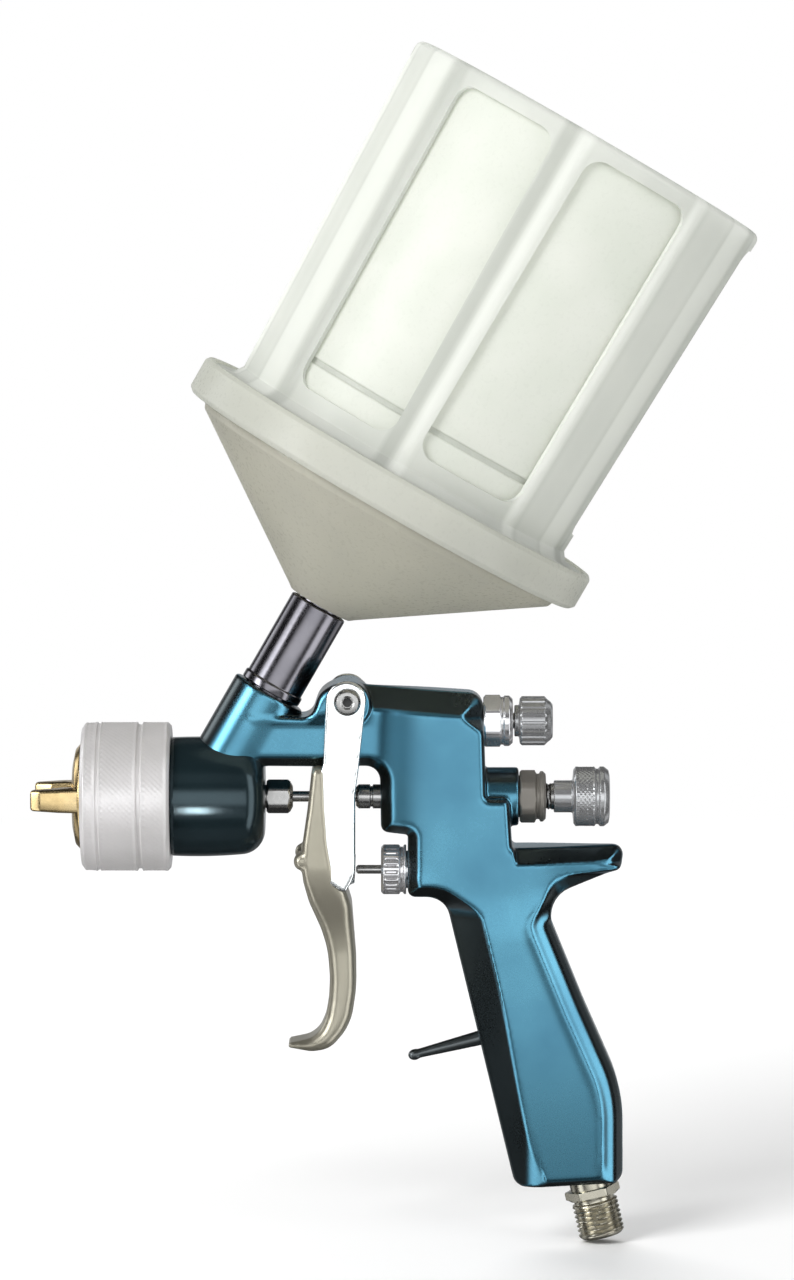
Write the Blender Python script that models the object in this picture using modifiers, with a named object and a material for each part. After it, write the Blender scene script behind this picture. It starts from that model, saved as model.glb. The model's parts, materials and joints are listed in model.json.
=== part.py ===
"""Gravity-feed HVLP spray gun with a windowed paint cup, built as the separate pieces it comes apart into.

Frame: metres, +Z up, origin in the middle of the hand grip. The gun sprays along -X and is the same
on both sides of the plane y = 0. Lengths below are in millimetres, and MM turns them into metres.
"""

import math

import bmesh
import bpy
from mathutils import Matrix, Vector

MM = 0.001
GAP = 0.3  # space left between neighbouring pieces

# Axes of the gun, all in the plane y = 0. A tilt turns +Z towards +X.
SPRAY_Z = 68.0  # fluid needle and nozzle
SPREADER_Z = 89.3  # spreader valve
VALVE_Z = 47.4  # air valve
PIVOT_X, PIVOT_Z = -53.8, 95.7  # trigger pivot
CUP_X, CUP_TILT = -92.7, 30.0  # where the cup's axis meets the spray axis, and its lean
INLET_X, INLET_Z, INLET_TILT = 18.0, -56.5, -13.0  # end face of the air inlet, pointing up the grip

# Main sizes
BODY_HALF = 11.5  # half the casting's thickness
HEAD_R, SPIGOT_R = 16.8, 16.2
RING_R, RING_FRONT, RING_BACK = 20.9, -128.2, -103.3
SPIGOT_FRONT = -112.2
CAP_FACE, HORN_TIP = -130.8, -142.2
ARM_IN, ARM_OUT = 12.0, 13.8  # the trigger's side plates, across the gun
CUP_FLANGE_R, FLANGE_LOW, FLANGE_HIGH = 61.9, 96.3, 107.0
FRAME_LOW_R, FRAME_TOP_R, FRAME_TOP = 51.5, 54.8, 212.6
FRAME_WALL, LINER_WALL = 1.8, 1.1
WINDOW_LOW, WINDOW_HIGH = 116.5, 207.0
WINDOW_ARC, RIB_ARC = 36.0, 10.0  # degrees round the cup
WINDOW_PAIRS, PAIR_TURN = 3, -94.0  # degrees from +X to the middle rib that faces the user

AXES = {
    "spray": ((0, 0, SPRAY_Z), 90.0),
    "spreader": ((0, 0, SPREADER_Z), 90.0),
    "valve": ((0, 0, VALVE_Z), 90.0),
    "cup": ((CUP_X, 0, SPRAY_Z), CUP_TILT),
    "inlet": ((INLET_X, 0, INLET_Z), INLET_TILT),
}

FINISHES = {  # colour, roughness, metallic
    "anodised_blue": ((0.05, 0.22, 0.33), 0.32, 0.9),
    "knurled_aluminium": ((0.60, 0.60, 0.59), 0.38, 1.0),
    "brass": ((0.72, 0.52, 0.24), 0.28, 1.0),
    "chrome": ((0.78, 0.78, 0.80), 0.12, 1.0),
    "nickel": ((0.62, 0.59, 0.51), 0.25, 1.0),
    "stainless": ((0.60, 0.60, 0.60), 0.30, 1.0),
    "spring_steel": ((0.42, 0.42, 0.43), 0.35, 1.0),
    "seal_plastic": ((0.85, 0.85, 0.82), 0.50, 0.0),
    "dark_rubber": ((0.05, 0.05, 0.05), 0.70, 0.0),
    "frame_plastic": ((0.80, 0.82, 0.78), 0.40, 0.0),
    "liner_plastic": ((0.92, 0.93, 0.90), 0.30, 0.0),
    "lid_plastic": ((0.62, 0.61, 0.54), 0.40, 0.0),
}


# ---- making and joining solids ----

def finish_material(name):
    """The Principled material of that finish, made once."""
    found = bpy.data.materials.get(name)
    if found:
        return found
    colour, roughness, metallic = FINISHES[name]
    material = bpy.data.materials.new(name)
    material.use_nodes = True
    shader = material.node_tree.nodes["Principled BSDF"]
    shader.inputs["Base Color"].default_value = (*colour, 1.0)
    shader.inputs["Roughness"].default_value = roughness
    shader.inputs["Metallic"].default_value = metallic
    return material


def add_object(name, data, finish=None):
    """Links a new object to the part's collection, or to the helpers' if it has no finish."""
    obj = bpy.data.objects.new(name, data)
    (PARTS if finish else HELPERS).objects.link(obj)
    if finish:
        data.materials.clear()
        data.materials.append(finish_material(finish))
    return obj


def baked(obj):
    """Replaces obj by a plain mesh of what its modifiers or curve settings make, closed and facing out."""
    bpy.context.view_layer.update()
    graph = bpy.context.evaluated_depsgraph_get()
    mesh = bpy.data.meshes.new_from_object(obj.evaluated_get(graph))
    work = bmesh.new()
    work.from_mesh(mesh)
    bmesh.ops.remove_doubles(work, verts=work.verts, dist=2e-6)
    bmesh.ops.dissolve_degenerate(work, edges=work.edges, dist=1e-6)
    bmesh.ops.recalc_face_normals(work, faces=work.faces)
    work.to_mesh(mesh)
    work.free()
    name, matrix = obj.name, obj.matrix_world.copy()
    home = obj.users_collection[0]
    bpy.data.objects.remove(obj)
    made = bpy.data.objects.new(name, mesh)
    home.objects.link(made)
    made.matrix_world = matrix
    mesh.shade_smooth()
    mesh.set_sharp_from_angle(angle=math.radians(35))
    return made


def set_on_axis(obj, axis):
    """Puts obj on a named axis: its own Z runs along it, so a station is a distance from the axis's start."""
    origin, tilt = AXES[axis]
    obj.location = Vector(origin) * MM
    obj.rotation_euler = (0, math.radians(tilt), 0)


def turned(name, axis, profile, finish=None, segments=20, ring=False):
    """A turned piece. profile is (radius, station) points; ring closes it into a loop clear of the axis."""
    points = [(radius * MM, 0, station * MM) for radius, station in profile]
    edges = [(i, i + 1) for i in range(len(points) - 1)]
    if ring:
        edges.append((len(points) - 1, 0))
    mesh = bpy.data.meshes.new(name)
    mesh.from_pydata(points, edges, [])
    obj = add_object(name, mesh, finish)
    screw = obj.modifiers.new("Turn", "SCREW")
    screw.axis = "Z"
    screw.angle = math.tau
    screw.steps = screw.render_steps = segments
    screw.use_merge_vertices = True
    screw.merge_threshold = 1e-5
    set_on_axis(obj, axis)
    return baked(obj)


def rod(name, axis, radius, start, end, finish=None, segments=16):
    """A plain cylinder on a named axis."""
    return turned(name, axis, [(0, start), (radius, start), (radius, end), (0, end)], finish, segments)


def tube(name, axis, inner, outer, start, end, finish=None, segments=20):
    """A plain ring or tube on a named axis."""
    profile = [(inner, start), (outer, start), (outer, end), (inner, end)]
    return turned(name, axis, profile, finish, segments, ring=True)


def hexagon(name, axis, across_flats, start, end, finish=None):
    """A hexagonal bar on a named axis."""
    mesh = bpy.data.meshes.new(name)
    work = bmesh.new()
    radius = across_flats / 2 / math.cos(math.pi / 6) * MM
    centre = Matrix.Translation((0, 0, (start + end) / 2 * MM))
    bmesh.ops.create_cone(work, cap_ends=True, segments=6, radius1=radius, radius2=radius,
                          depth=(end - start) * MM, matrix=centre)
    work.to_mesh(mesh)
    work.free()
    obj = add_object(name, mesh, finish)
    set_on_axis(obj, axis)
    return obj


def drill(radius, start, end, segments=12):
    """A cutter for a straight hole between two points, each (x, y, z)."""
    first, last = Vector(start), Vector(end)
    mesh = bpy.data.meshes.new("drill")
    work = bmesh.new()
    bmesh.ops.create_cone(work, cap_ends=True, segments=segments, radius1=radius * MM,
                          radius2=radius * MM, depth=(last - first).length * MM)
    work.to_mesh(mesh)
    work.free()
    obj = add_object("drill", mesh)
    obj.rotation_mode = "QUATERNION"
    obj.rotation_quaternion = (last - first).to_track_quat("Z", "Y")
    obj.location = (first + last) / 2 * MM
    return obj


def rounded(corners, steps=3):
    """An outline through (x, z, radius) corners, with an arc of its radius at each."""
    points = []
    for i, (x, z, radius) in enumerate(corners):
        here = Vector((x, z))
        back = (Vector(corners[i - 1][:2]) - here).normalized()
        ahead = (Vector(corners[(i + 1) % len(corners)][:2]) - here).normalized()
        if not radius:
            points.append(tuple(here))
            continue
        half = back.angle(ahead) / 2
        centre = here + (back + ahead).normalized() * (radius / math.sin(half))
        spoke = here + back * (radius / math.tan(half)) - centre
        sweep = math.copysign(math.pi - 2 * half, back.cross(ahead))
        for k in range(steps + 1):
            turn = -sweep * k / steps
            points.append((centre.x + spoke.x * math.cos(turn) - spoke.y * math.sin(turn),
                           centre.y + spoke.x * math.sin(turn) + spoke.y * math.cos(turn)))
    return points


def plate(name, outline, half_width, finish=None, middle=0.0, edge=0.0, flat=False):
    """A flat plate with that outline in the XZ plane, or in XY if flat, and edges rounded by edge."""
    curve = bpy.data.curves.new(name, "CURVE")
    curve.dimensions = "2D"
    curve.fill_mode = "BOTH"
    curve.extrude = (half_width - edge) * MM
    curve.bevel_depth = edge * MM
    curve.offset = -edge * MM
    curve.bevel_resolution = 1
    spline = curve.splines.new("POLY")
    spline.points.add(len(outline) - 1)
    for point, (a, b) in zip(spline.points, outline):
        point.co = (a * MM, b * MM, 0, 1)
    spline.use_cyclic_u = True
    obj = add_object(name, curve, finish)
    if flat:
        obj.location = (0, 0, middle * MM)
    else:
        obj.rotation_euler = (math.pi / 2, 0, 0)
        obj.location = (0, middle * MM, 0)
    return baked(obj)


def combine(target, others, operation):
    """Joins others to target, or cuts them from it, one at a time, and removes them."""
    for other in others:
        step = target.modifiers.new(operation, "BOOLEAN")
        step.operation = operation
        step.solver = "EXACT"
        step.object = other
        target = baked(target)
        bpy.data.objects.remove(other)
    return target


def join(target, *others):
    return combine(target, others, "UNION")


def cut(target, *others):
    return combine(target, others, "DIFFERENCE")


def set_origin(obj, point):
    """Moves obj's origin to a point, leaving its shape where it is."""
    origin = Vector(point) * MM
    obj.data.transform(Matrix.Translation(-origin) @ obj.matrix_world)
    obj.matrix_world = Matrix.Translation(origin)
    return obj


# ---- gun body ----

def make_gun_body():
    """The forged casting: head, cup boss, neck, block, tail, grip and hanging hook, with its drilled ways."""
    outline = rounded([
        (-86, 91.6, 0), (-63.6, 91.0, 2.5), (-60.8, 100.0, 5.5), (-16.0, 97.5, 4), (-15.1, 68.3, 1.2),
        (-8.7, 68.3, 2.2), (-7.8, 54.2, 1.2), (23.6, 54.6, 3.0), (22.6, 48.0, 2.5), (0.6, 39.7, 7.5),
        (23.9, -17.3, 62), (23.5, -40.1, 3), (-6.7, -42.0, 3.5), (-26.6, 40.2, 8.5), (-37.0, 40.2, 2.2),
        (-37.0, 57.9, 0.8), (-44.5, 58.5, 2.2), (-44.8, 76.7, 2.5), (-86, 77.2, 0),
    ])
    panel = rounded([(-15.5, 24, 3), (-2.5, 24, 3), (13.5, -14, 20), (14.5, -35, 3), (-1.0, -35, 3)])
    head = [(0, SPIGOT_FRONT), (SPIGOT_R, SPIGOT_FRONT), (SPIGOT_R, -103.0), (HEAD_R, -103.0)]
    round_r, round_x = 7.5, -84.5  # the head's domed back
    head += [(HEAD_R - round_r + round_r * math.cos(a), round_x + round_r * math.sin(a))
             for a in (math.radians(22.5 * k) for k in range(5))]
    body = plate("gun_body", outline, BODY_HALF, "anodised_blue", edge=2.0)
    body = join(
        body,
        plate("panel", panel, BODY_HALF + 0.5),
        turned("head", "spray", head + [(0, -77.0)], segments=40),
        rod("cup_boss", "cup", 10.6, 4, 34.0, segments=32),
        rod("rear_boss", "spray", 8.2, -26, -5.9, segments=28),
        make_hook(),
    )
    wedges = [plate("tail_side", [(-4, side * 11.7), (24.5, side * 5.5), (24.5, side * 15), (-4, side * 15)],
                    10, middle=51, flat=True) for side in (-1, 1)]
    return cut(
        body,
        *wedges,
        rod("tip_socket", "spray", 6.8, -113, -104.6),
        tube("air_chamber", "spray", 9.6, 13.6, -113, -101, segments=32),
        rod("needle_way", "spray", 3.6, -105, -70),
        rod("fluid_way", "cup", 4.0, 0, 20),
        rod("adapter_socket", "cup", 7.6, 19, 36),
        rod("collar_way", "spray", 3.8, -46, -33),
        rod("spring_way", "spray", 4.6, -33.7, -4),
        rod("bushing_socket", "spray", 6.2, -15, -4),
        rod("spreader_way", "spreader", 5.4, -36, -10),
        rod("valve_way", "valve", 5.6, -40, -6),
        rod("inlet_way", "inlet", 3.3, 14, 106, segments=16),
        rod("inlet_socket", "inlet", 6.3, 8, 27.5),
        drill(2.0, (-29.5, 7.0, VALVE_Z), (-29.5, 7.0, SPREADER_Z)),
        drill(1.8, (-33, -4.0, 88.0), (-103, -8.0, 75.5)),
        drill(2.9, (PIVOT_X, -20, PIVOT_Z), (PIVOT_X, 20, PIVOT_Z), segments=20),
    )


def make_hook():
    """The tapered hanging hook cast on the front of the grip."""
    root, tip = Vector((-8.0, 0, 1.9)), Vector((-36.4, 0, -5.4))
    mesh = bpy.data.meshes.new("hook")
    work = bmesh.new()
    bmesh.ops.create_cone(work, cap_ends=True, segments=14, radius1=2.0 * MM, radius2=1.15 * MM,
                          depth=(tip - root).length * MM)
    work.to_mesh(mesh)
    work.free()
    obj = add_object("hook", mesh)
    obj.rotation_mode = "QUATERNION"
    obj.rotation_quaternion = (tip - root).to_track_quat("Z", "Y")
    obj.location = (root + tip) / 2 * MM
    return obj


# ---- nozzle ----

def make_nozzle():
    """Retaining ring, its clip, air cap, fluid tip, baffle and gasket, stacked on the head."""
    lip = RING_FRONT + 2.2
    turned("retaining_ring", "spray", [
        (15.2, RING_FRONT), (RING_R - 1.4, RING_FRONT), (RING_R, RING_FRONT + 1.4),
        (RING_R, RING_BACK - 1.2), (RING_R - 1.2, RING_BACK), (SPIGOT_R + 0.4, RING_BACK),
        (SPIGOT_R + 0.4, SPIGOT_FRONT), (18.3, SPIGOT_FRONT), (18.3, lip), (15.2, lip),
    ], "knurled_aluminium", segments=36, ring=True)
    tube("cap_retainer_clip", "spray", 15.3, 17.9, lip + GAP, lip + 1.3, "seal_plastic", segments=24)
    flange = lip + 1.3 + GAP
    cap = turned("air_cap", "spray", [
        (13.6, -116.0), (16.5, -116.0), (16.5, flange + 3), (17.9, flange + 3), (17.9, flange),
        (14.8, flange), (14.8, -128.7), (13.2, -130.0), (9.6, CAP_FACE), (2.6, CAP_FACE),
        (2.6, -128.4), (6.0, -128.0), (13.6, -125.4),
    ], "brass", segments=28, ring=True)
    horn = [(-128.6, 14.2), (-137.0, 13.6), (HORN_TIP, 12.4), (HORN_TIP, 9.8), (-136.0, 6.8), (-128.6, 5.4)]
    horns = [plate("horn", [(x, side * y) for x, y in horn], 3.3, middle=SPRAY_Z, edge=0.6, flat=True)
             for side in (-1, 1)]
    join(cap, *horns)
    tip = turned("fluid_tip", "spray", [
        (3.2, -105.0), (6.5, -105.0), (6.5, -115.3), (9.3, -115.3), (9.3, -118.5), (7.2, -119.2),
        (2.1, -129.4), (2.1, -131.6), (0.75, -131.6), (0.75, -130.4), (3.2, -124.0),
    ], "stainless", ring=True)
    nut = tube("spanner_flats", "spray", 8.1, 12, -115.0, -118.7, segments=6)
    cut(tip, nut)
    baffle = tube("air_baffle", "spray", 6.9, 15.6, -115.0, -113.2, "seal_plastic", segments=20)
    holes = []
    for k in range(6):
        turn = math.tau * (k + 0.5) / 6
        y, z = 11.6 * math.cos(turn), SPRAY_Z + 11.6 * math.sin(turn)
        holes.append(drill(1.5, (-116, y, z), (-112, y, z), segments=8))
    cut(baffle, *holes)
    tube("head_gasket", "spray", 7.2, 15.4, -112.9, -112.5, "dark_rubber", segments=20)


# ---- fluid needle and its adjuster ----

def coil(name, axis, radius, wire, start, end, turns, finish):
    """A compression spring on a named axis, with its wire's ends inside the given stations."""
    per_turn = 9
    curve = bpy.data.curves.new(name, "CURVE")
    curve.dimensions = "3D"
    curve.bevel_depth = wire * MM
    curve.bevel_resolution = 0
    curve.use_fill_caps = True
    spline = curve.splines.new("POLY")
    count = turns * per_turn
    spline.points.add(count)
    for k, point in enumerate(spline.points):
        turn = math.tau * k / per_turn
        station = start + wire + (end - start - 2 * wire) * k / count
        point.co = (radius * math.cos(turn) * MM, radius * math.sin(turn) * MM, station * MM, 1)
    obj = add_object(name, curve, finish)
    set_on_axis(obj, axis)
    return baked(obj)


def make_needle():
    """Needle, its packing and nut, collar, spring pad and spring."""
    turned("fluid_needle", "spray", [
        (0, -131.2), (0.45, -130.6), (1.5, -124.5), (1.5, -33.4), (1.9, -33.2), (1.9, -6.5), (0, -6.5),
    ], "stainless", segments=16)
    turned("needle_collar", "spray", [
        (1.8, -51.5), (2.6, -51.5), (3.4, -50.7), (3.4, -33.8), (1.8, -33.8),
    ], "stainless", segments=20, ring=True)
    tube("needle_spring_pad", "spray", 2.2, 4.2, -33.2, -31.4, "stainless", segments=20)
    coil("needle_spring", "spray", 3.2, 0.45, -31.1, -12.6, 6, "spring_steel")
    tube("needle_packing", "spray", 1.8, 3.3, -86, -81, "seal_plastic", segments=16)
    nut = hexagon("needle_packing_nut", "spray", 8.4, -76.1, -69.2, "stainless")
    nut = join(nut, rod("nut_thread", "spray", 3.3, -80.6, -75.5, segments=16))
    cut(nut, rod("nut_bore", "spray", 1.8, -82, -68, segments=16))


def make_fluid_adjuster():
    """Bushing in the rear boss, the hollow stop screw that runs in it, and the knob on the screw."""
    turned("fluid_valve_bushing", "spray", [
        (4.0, -14.6), (5.9, -14.6), (5.9, -5.6), (7.3, -5.6), (7.3, 0.9), (6.5, 1.7), (4.9, 1.7),
        (4.9, -1.0), (4.0, -1.0),
    ], "brass", segments=24, ring=True)
    turned("needle_stop_screw", "spray", [
        (0, 2.0), (2.4, 2.0), (2.4, -12.2), (3.7, -12.2), (3.7, 15.6), (0, 15.6),
    ], "stainless", segments=20)
    turned("fluid_knob", "spray", [
        (0, 15.9), (4.0, 15.9), (4.0, 4.0), (4.5, 4.0), (4.5, 9.5), (8.0, 9.5), (8.4, 9.9),
        (8.4, 17.8), (7.0, 19.6), (0, 19.6),
    ], "chrome", segments=24)


def make_spreader_adjuster():
    """Valve body, its o-ring, the tapered stem that slides in it and the knob."""
    turned("spreader_housing", "spreader", [
        (2.6, -24.0), (5.1, -24.0), (5.1, -15.4), (7.1, -15.4), (7.1, -8.4), (6.3, -7.6), (2.6, -7.6),
    ], "chrome", segments=24, ring=True)
    tube("spreader_o_ring", "spreader", 2.5, 4.4, -26.0, -24.4, "dark_rubber", segments=16)
    turned("spreader_stem", "spreader", [
        (0, -34.5), (0.6, -34.3), (2.2, -30.0), (2.2, 1.4), (0, 1.4),
    ], "stainless", segments=16)
    turned("spreader_knob", "spreader", [
        (0, 1.7), (2.5, 1.7), (2.5, -7.1), (4.4, -7.1), (4.4, -5.6), (6.9, -5.2), (6.9, 1.9),
        (5.4, 3.6), (0, 3.6),
    ], "chrome", segments=24)


# ---- air valve and inlet ----

def make_air_valve():
    """Front nut, packing, seat, stem, poppet and return spring."""
    turned("air_valve_nut", "valve", [
        (1.6, -44.5), (6.4, -44.5), (7.0, -43.9), (7.0, -37.4), (5.3, -37.4), (5.3, -34.0), (1.6, -34.0),
    ], "nickel", segments=24, ring=True)
    tube("air_valve_packing", "valve", 1.6, 5.2, -33.7, -32.2, "seal_plastic", segments=16)
    tube("air_valve_seat", "valve", 2.6, 5.3, -27.0, -24.8, "brass", segments=20)
    rod("air_valve_stem", "valve", 1.25, -51.5, -24.9, "stainless", segments=14)
    turned("air_valve_poppet", "valve", [
        (0, -24.5), (3.4, -24.5), (4.2, -23.6), (4.2, -21.6), (2.4, -21.6), (2.4, -17.6), (0, -17.6),
    ], "seal_plastic", segments=18)
    coil("air_valve_spring", "valve", 3.4, 0.45, -21.3, -6.6, 5, "spring_steel")


def make_inlet():
    """The threaded air inlet at the foot of the grip, with its hexagon and gasket."""
    inlet = hexagon("inlet_fitting", "inlet", 13.6, 11.4, 14.2, "nickel")
    shank = turned("shank", "inlet", [
        (0, 0), (5.9, 0), (6.55, 0.8), (6.55, 11.5), (5.6, 11.9), (5.6, 13.9), (5.9, 14.0), (5.9, 27.0), (0, 27.0),
    ], segments=24)
    inlet = join(inlet, shank)
    cut(inlet, rod("inlet_bore", "inlet", 4.0, -1, 28))


# ---- trigger ----

def make_trigger():
    """The trigger: two side arms on the pivot, a front web, cross pads that push the needle and valve, and the
    curved finger lever."""
    arm = rounded([
        (-59.6, 101.5, 5.75), (-48.0, 101.5, 5.75), (-50.7, 77.0, 6), (-51.8, 69, 4), (-51.8, 47.0, 8), (-55.5, 40.5, 2),
        (-60.5, 44.0, 0), (-64.5, 50.0, 0), (-62.5, 76.4, 0), (-60.6, 78.2, 3),
    ])
    web = [(-63.0, 76.4), (-64.8, 66.0), (-66.6, 55.1), (-66.4, 45.3), (-64.4, 39.4), (-59.8, 41.0), (-61.9, 47.8),
           (-62.0, 56.9), (-60.6, 66.0), (-59.4, 76.4)]
    front = [(-66.4, 45.3), (-64.4, 39.4), (-61.2, 31.4), (-59.4, 25.4), (-58.8, 17.5), (-59.1, 11.4),
             (-59.9, 6.5), (-61.6, 2.5), (-64.4, 0.3), (-70.4, -0.9)]
    back = [(-70.6, -2.2), (-64.0, -3.4), (-58.8, -2.6), (-54.6, 2.3), (-52.6, 6.5), (-51.4, 14.5), (-51.5, 23.5),
            (-52.6, 38.0), (-54.0, 42.2), (-57.5, 48.0), (-61.9, 51.0)]
    trigger = plate("trigger", front + back, 8.5, "nickel", edge=0.8)
    side = (ARM_IN + ARM_OUT) / 2
    trigger = join(
        trigger,
        plate("web", web, ARM_OUT - 0.2),
        plate("needle_pad", [(-53.8, 65.6), (-51.8, 65.6), (-51.8, 70.4), (-53.8, 70.4)], ARM_IN + 0.6),
        plate("valve_pad", [(-53.8, 44.8), (-51.8, 44.8), (-51.8, 50.0), (-53.8, 50.0)], ARM_IN + 0.6),
        *[plate("arm", arm, (ARM_OUT - ARM_IN) / 2, middle=sign * side) for sign in (-1, 1)],
    )
    needle_slot = plate("needle_slot", [(-70, 64.0), (-50, 64.0), (-50, 72.6), (-70, 72.6)], 2.2)
    pivot_hole = drill(2.9, (PIVOT_X, -20, PIVOT_Z), (PIVOT_X, 20, PIVOT_Z), segments=20)
    set_origin(cut(trigger, needle_slot, pivot_hole), (PIVOT_X, 0, PIVOT_Z))


def make_pivot():
    """The stud that the trigger turns on, headed on the near side, and the screw that holds it from the far side."""
    far, near = ARM_OUT + GAP, -ARM_OUT - GAP
    stud = drill(2.6, (PIVOT_X, far - 0.6, PIVOT_Z), (PIVOT_X, near - 0.5, PIVOT_Z), segments=20)
    stud.name = "trigger_stud"
    PARTS.objects.link(stud)
    HELPERS.objects.unlink(stud)
    stud.data.materials.append(finish_material("stainless"))
    stud = join(stud, drill(3.7, (PIVOT_X, near, PIVOT_Z), (PIVOT_X, near - 1.9, PIVOT_Z), segments=24))
    stud = cut(
        stud,
        drill(1.8, (PIVOT_X, far + 1, PIVOT_Z), (PIVOT_X, 2, PIVOT_Z), segments=14),
        drill(1.5, (PIVOT_X, near - 3, PIVOT_Z), (PIVOT_X, near - 0.7, PIVOT_Z), segments=6),
    )
    set_origin(stud, (PIVOT_X, 0, PIVOT_Z))
    screw = drill(1.5, (PIVOT_X, 2.6, PIVOT_Z), (PIVOT_X, far + 0.5, PIVOT_Z), segments=14)
    screw.name = "trigger_screw"
    PARTS.objects.link(screw)
    HELPERS.objects.unlink(screw)
    screw.data.materials.append(finish_material("stainless"))
    screw = join(screw, drill(3.7, (PIVOT_X, far, PIVOT_Z), (PIVOT_X, far + 1.9, PIVOT_Z), segments=24))
    slot = plate("slot", [(PIVOT_X - 5, PIVOT_Z - 0.5), (PIVOT_X + 5, PIVOT_Z - 0.5),
                          (PIVOT_X + 5, PIVOT_Z + 0.5), (PIVOT_X - 5, PIVOT_Z + 0.5)], 0.6, middle=far + 1.9)
    set_origin(cut(screw, slot), (PIVOT_X, 0, PIVOT_Z))


# ---- cup ----

def frame_radius(station):
    """Outer radius of the cup frame, which widens slightly towards its closed end."""
    share = (station - FLANGE_HIGH) / (FRAME_TOP - FLANGE_HIGH)
    return FRAME_LOW_R + (FRAME_TOP_R - FRAME_LOW_R) * share


def window_cutter(middle):
    """A block that cuts one window; middle is the direction round the cup, in degrees."""
    reach = FRAME_TOP_R * math.cos(math.radians(WINDOW_ARC / 2))
    half = FRAME_LOW_R * math.sin(math.radians(WINDOW_ARC / 2))
    low, high = WINDOW_LOW, WINDOW_HIGH
    mesh = bpy.data.meshes.new("window")
    work = bmesh.new()
    size = Matrix.Diagonal((20 * MM, 2 * half * MM, (high - low) * MM, 1))
    bmesh.ops.create_cube(work, size=1, matrix=size)
    work.to_mesh(mesh)
    work.free()
    obj = add_object("window", mesh)
    origin, tilt = AXES["cup"]
    out = Matrix.Rotation(math.radians(tilt), 4, "Y") @ Matrix.Rotation(math.radians(middle), 4, "Z")
    place = Matrix.Translation(Vector(origin) * MM) @ out
    obj.matrix_world = place @ Matrix.Translation(Vector((reach - 3, 0, (low + high) / 2)) * MM)
    return obj


def make_cup():
    """Feed adapter and gasket in the boss, then lid, strainer, lock collar, liner and windowed frame."""
    turned("feed_adapter", "cup", [
        (5.0, 20.4), (7.3, 20.4), (7.3, 34.4), (8.4, 34.4), (8.4, 62.0), (6.9, 62.0), (6.9, 69.4), (5.0, 69.4),
    ], "chrome", segments=28, ring=True)
    tube("adapter_gasket", "cup", 4.4, 7.2, 19.3, 20.1, "seal_plastic", segments=20)
    turned("cup_lid", "cup", [
        (7.3, 62.4), (9.3, 62.4), (11.2, 63.8), (56.0, 94.4), (56.0, 97.9), (59.0, 97.9), (59.0, 99.9),
        (54.2, 99.9), (54.2, 95.2), (11.2, 65.8), (9.4, 65.8), (9.4, 70.0), (7.3, 70.0),
    ], "lid_plastic", segments=40, ring=True)
    tube("paint_strainer", "cup", 1.6, 12.0, 70.3, 71.1, "seal_plastic", segments=20)
    turned("lock_collar", "cup", [
        (56.4, FLANGE_LOW), (60.9, FLANGE_LOW), (CUP_FLANGE_R, FLANGE_LOW + 1), (CUP_FLANGE_R, FLANGE_HIGH - 1),
        (60.9, FLANGE_HIGH), (59.4, FLANGE_HIGH), (59.4, FLANGE_LOW + 1.3), (56.4, FLANGE_LOW + 1.3),
    ], "lid_plastic", segments=40, ring=True)
    inset = FRAME_WALL + GAP
    mouth, end = frame_radius(102) - inset, frame_radius(FRAME_TOP - inset) - inset
    turned("cup_liner", "cup", [
        (0, FRAME_TOP - inset - LINER_WALL), (end - LINER_WALL, FRAME_TOP - inset - LINER_WALL),
        (mouth - LINER_WALL, 100.3), (58.6, 100.3), (58.6, 101.4), (mouth, 101.4),
        (end, FRAME_TOP - inset), (0, FRAME_TOP - inset),
    ], "liner_plastic", segments=40)
    frame = turned("cup_frame", "cup", [
        (3.0, FRAME_TOP - FRAME_WALL), (frame_radius(FRAME_TOP - FRAME_WALL) - FRAME_WALL, FRAME_TOP - FRAME_WALL),
        (frame_radius(101.7) - FRAME_WALL, 101.7), (59.1, 101.7), (59.1, 106.8),
        (frame_radius(106.8) + 0.1, 106.8), (FRAME_TOP_R, FRAME_TOP), (3.0, FRAME_TOP),
    ], "frame_plastic", segments=40, ring=True)
    windows = []
    for pair in range(WINDOW_PAIRS):
        for side in (-1, 1):
            turn = PAIR_TURN + 360 / WINDOW_PAIRS * pair + side * (WINDOW_ARC + RIB_ARC) / 2
            windows.append(window_cutter(turn))
    cut(frame, *windows)


for old in list(bpy.data.objects):
    bpy.data.objects.remove(old, do_unlink=True)
PARTS = bpy.data.collections.new("hvlp_spray_gun")
HELPERS = bpy.data.collections.new("helpers")
bpy.context.scene.collection.children.link(PARTS)
bpy.context.scene.collection.children.link(HELPERS)
make_gun_body()
make_nozzle()
make_needle()
make_fluid_adjuster()
make_spreader_adjuster()
make_air_valve()
make_inlet()
make_trigger()
make_pivot()
make_cup()
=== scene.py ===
"""The looks of a gravity-feed HVLP spray gun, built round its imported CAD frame.

Shapes are worked out in millimetres and written in metres. The gun sprays along -X, +Z is up, and the
plane y = 0 halves it. Cast pieces are distance fields turned into meshes, and turned pieces are lathed.
"""

import json
import math

import bmesh
import bpy
import numpy as np
from mathutils import Matrix, Vector


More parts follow.
